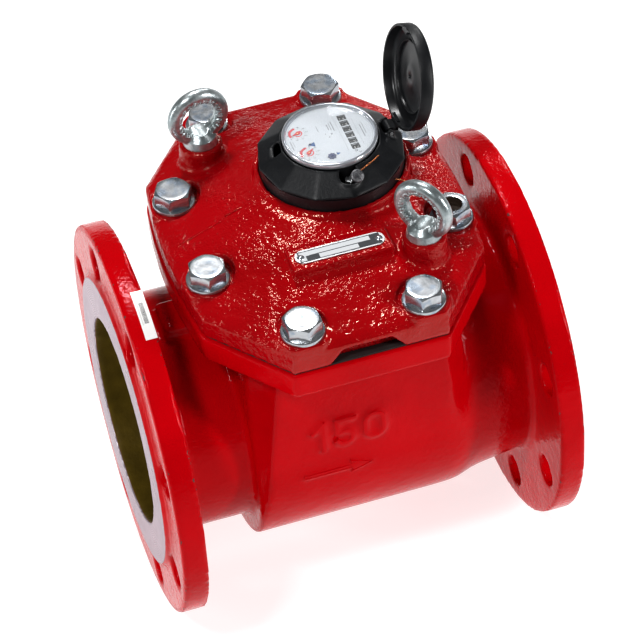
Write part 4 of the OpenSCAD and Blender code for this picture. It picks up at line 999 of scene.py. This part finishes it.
fittings = Heap()
fittings.block((-8, -4.9, rim + 0.4), (0, 4.9, rim + 2.6), as_open)
fittings.block((-2.6, -4.9, 0), (0, 4.9, rim + 2.6), as_open)
fittings.lathe([(1.32, -4.9), (2.6, -4.9), (2.6, 4.9), (1.32, 4.9)],
               as_open @ Matrix.Rotation(math.radians(90), 4, "X"), 40, closed=True)
LATCH_TURN = 172
at_latch = lid_mid @ Matrix.Rotation(math.radians(LATCH_TURN), 4, "Z")
fittings.block((34.85, -4, rim - 2.2), (36.25, 4, rim + 4), at_latch)
fittings.block((30.2, -5.2, rim + 5.0), (34.9, 5.2, rim + 7.6), at_latch)
hinge_leaf = piece("lid_fittings", fittings.verts, fittings.faces, FINISH["black_plastic"], "lid",
                   sharp=30)
bevel = hinge_leaf.modifiers.new("ease", "BEVEL")
bevel.width, bevel.segments, bevel.limit_method, bevel.angle_limit = 0.35 * MM, 2, "ANGLE", math.radians(40)
clip = Heap()
clip.block((29.6, -3.6, rim + 4.2), (34.8, -2.6, rim + 5.1), at_latch)
clip.block((29.6, -3.6, rim + 4.2), (30.5, 3.6, rim + 5.1), at_latch)
piece("latch_spring", clip.verts, clip.faces, FINISH["bare_steel"], "lid", sharp=30)
rim_line = Heap().lathe([(24.55, top - 4.3), (24.95, top - 4.42), (25.35, top - 4.3), (24.95, top - 4.2)],
                        lid_mid, 128, closed=True)
piece("lid_ring_edge", rim_line.verts, rim_line.faces, lid_inside, "lid")


# ---------------------------------------------------------------- seal and wires

def spline(points, spacing=0.35):
    """Points along a smooth curve through the given ones."""
    p = [Vector(q) for q in points]
    p = [p[0] * 2 - p[1]] + p + [p[-1] * 2 - p[-2]]
    path = []
    for a, b, c, d in zip(p, p[1:], p[2:], p[3:]):
        steps = max(2, int((c - b).length / spacing))
        for k in range(steps):
            t = k / steps
            path.append(0.5 * (2 * b + (c - a) * t + (2 * a - 5 * b + 4 * c - d) * t * t
                               + (3 * b - a - 3 * c + d) * t ** 3))
    return path + [p[-2]]


def twisted(heap, points, strand, pitch):
    """Two strands wound round each other along a curve."""
    path = spline(points)
    travelled, previous = 0.0, path[0]
    strands = ([], [])
    side = Vector((0.3, 0.2, 1))
    for i, q in enumerate(path):
        travelled += (q - previous).length
        previous = q
        along = (path[min(len(path) - 1, i + 1)] - path[max(0, i - 1)]).normalized()
        a = along.cross(side).normalized()
        b = along.cross(a)
        turn = 2 * math.pi * travelled / pitch
        off = (a * math.cos(turn) + b * math.sin(turn)) * strand
        strands[0].append(q + off)
        strands[1].append(q - off)
    for s in strands:
        heap.tube(s, strand, 8)


SEAL_ROUTE = [(6.2, -42, 199.3), (9, -38.8, 199.2), (13, -36.6, 199.7), (17.2, -34.3, 199.8), (21.5, -31.4, 199.6),
              (25.4, -28.2, 199.4)]
BOLT_ROUTE = [(33.9, -37.5, 183), (37, -41, 184), (42, -45, 181.5), (48, -50, 177), (54, -54, 172), (59, -56, 168.4),
              (62, -56.6, 167), (64.2, -56.7, 163.5), (64.8, -56.7, 160.6)]
for name, route, node in (("seal_strands", SEAL_ROUTE, "seal_wire"), ("bolt_strands", BOLT_ROUTE, "bolt_wire")):
    heap = Heap()
    twisted(heap, [at_reg @ Vector(p) for p in route], 0.3, 3.2)
    piece(name, heap.verts, heap.faces, FINISH["copper"], stands_for=[node])

seal = centre("lead_seal")
seal_turn = Matrix.Rotation(math.radians(35), 4, "X") @ Matrix.Rotation(math.radians(5), 4, "Y")
at_seal = Matrix.Translation(seal) @ seal_turn
plug = Heap().lathe([(0.05, -1.75), (3.6, -1.75), (4.3, -1.5), (4.6, -0.9), (4.45, -0.2), (4.6, 0.5), (4.5, 1.2),
                     (4.0, 1.6), (3.4, 1.72), (3.1, 1.5), (0.05, 1.45)], at_seal, 48)
for k in range(-2, 3):
    reach = 2.6 - abs(k) * 0.35
    plug.block((-reach, k * 1.05 - 0.22, 1.3), (reach, k * 1.05 + 0.22, 1.72), at_seal)
piece("crimped_seal", plug.verts, plug.faces, FINISH["lead"], stands_for=["lead_seal"], sharp=40)


# ---------------------------------------------------------------- camera, lights and floor

AZIMUTH, ELEVATION, ROLL = [math.radians(a) for a in (-15.08, 43.96, -4.06)]
DISTANCE, LENS = 2.2338, 174.2
AIM = Vector((0.150, 0, 0))
AIM_OFFSET = (0.00224, -0.03448)

back = Vector((math.sin(AZIMUTH) * math.cos(ELEVATION), -math.cos(AZIMUTH) * math.cos(ELEVATION), math.sin(ELEVATION)))
level = (-back).cross(Vector((0, 0, 1))).normalized()
upright = level.cross(-back)
right = level * math.cos(ROLL) + upright * math.sin(ROLL)
up = upright * math.cos(ROLL) - level * math.sin(ROLL)
eye = AIM + back * DISTANCE - right * AIM_OFFSET[0] - up * AIM_OFFSET[1]
camera = bpy.data.objects.new("camera", bpy.data.cameras.new("camera"))
camera.data.lens = LENS
camera.data.sensor_width = 36
camera.matrix_world = Matrix.Translation(eye) @ Matrix((right, up, back)).transposed().to_4x4()
scene.collection.objects.link(camera)
scene.camera = camera


def softbox(name, place, aim, size, power, tint=(1, 1, 1)):
    light = bpy.data.lights.new(name, "AREA")
    light.shape = "RECTANGLE"
    light.size, light.size_y = size
    light.energy = power
    light.color = tint
    obj = bpy.data.objects.new(name, light)
    direction = Vector(aim) - Vector(place)
    obj.matrix_world = Matrix.Translation(place) @ direction.to_track_quat("-Z", "Y").to_matrix().to_4x4()
    scene.collection.objects.link(obj)


softbox("top_light", (0.27, 0.80, 1.60), (0.12, 0, 0.1), (0.24, 0.30), 14)
softbox("key_light", (-0.9, -0.9, 2.1), (0.15, 0, 0), (0.30, 0.30), 22)
softbox("left_light", (-2.0, 0.3, 0.5), (0.1, 0, 0), (0.25, 1.2), 14)
softbox("back_light", (1.3, 1.9, 1.2), (0.15, 0, 0.1), (0.6, 0.2), 10)
softbox("right_light", (1.7, -1.3, 0.9), (0.15, 0, 0), (0.2, 1.0), 20)

world = bpy.data.worlds.new("studio")
world.use_nodes = True
world.node_tree.nodes["Background"].inputs["Color"].default_value = (1, 1, 1, 1)
world.node_tree.nodes["Background"].inputs["Strength"].default_value = 0.10
scene.world = world
scene.view_settings.view_transform = "Standard"
scene.view_settings.exposure = 0.15
scene.view_settings.gamma = 0.8

floor_z = cad_box[0][2] - 0.0002
floor_half = 6.0
floor_mesh = bpy.data.meshes.new("floor")
floor_mesh.from_pydata([(-floor_half, -floor_half, floor_z), (floor_half, -floor_half, floor_z),
                        (floor_half, floor_half, floor_z), (-floor_half, floor_half, floor_z)], [], [[0, 1, 2, 3]])
floor = bpy.data.objects.new("floor", floor_mesh)
floor_finish = Finish("pale_floor", roughness=0.95, base_color=(0.45, 0.45, 0.45, 1),
                      emission_color=(1, 1, 1, 1), emission_strength=0.72)
floor_mesh.materials.append(floor_finish.material)
scene.collection.objects.link(floor)
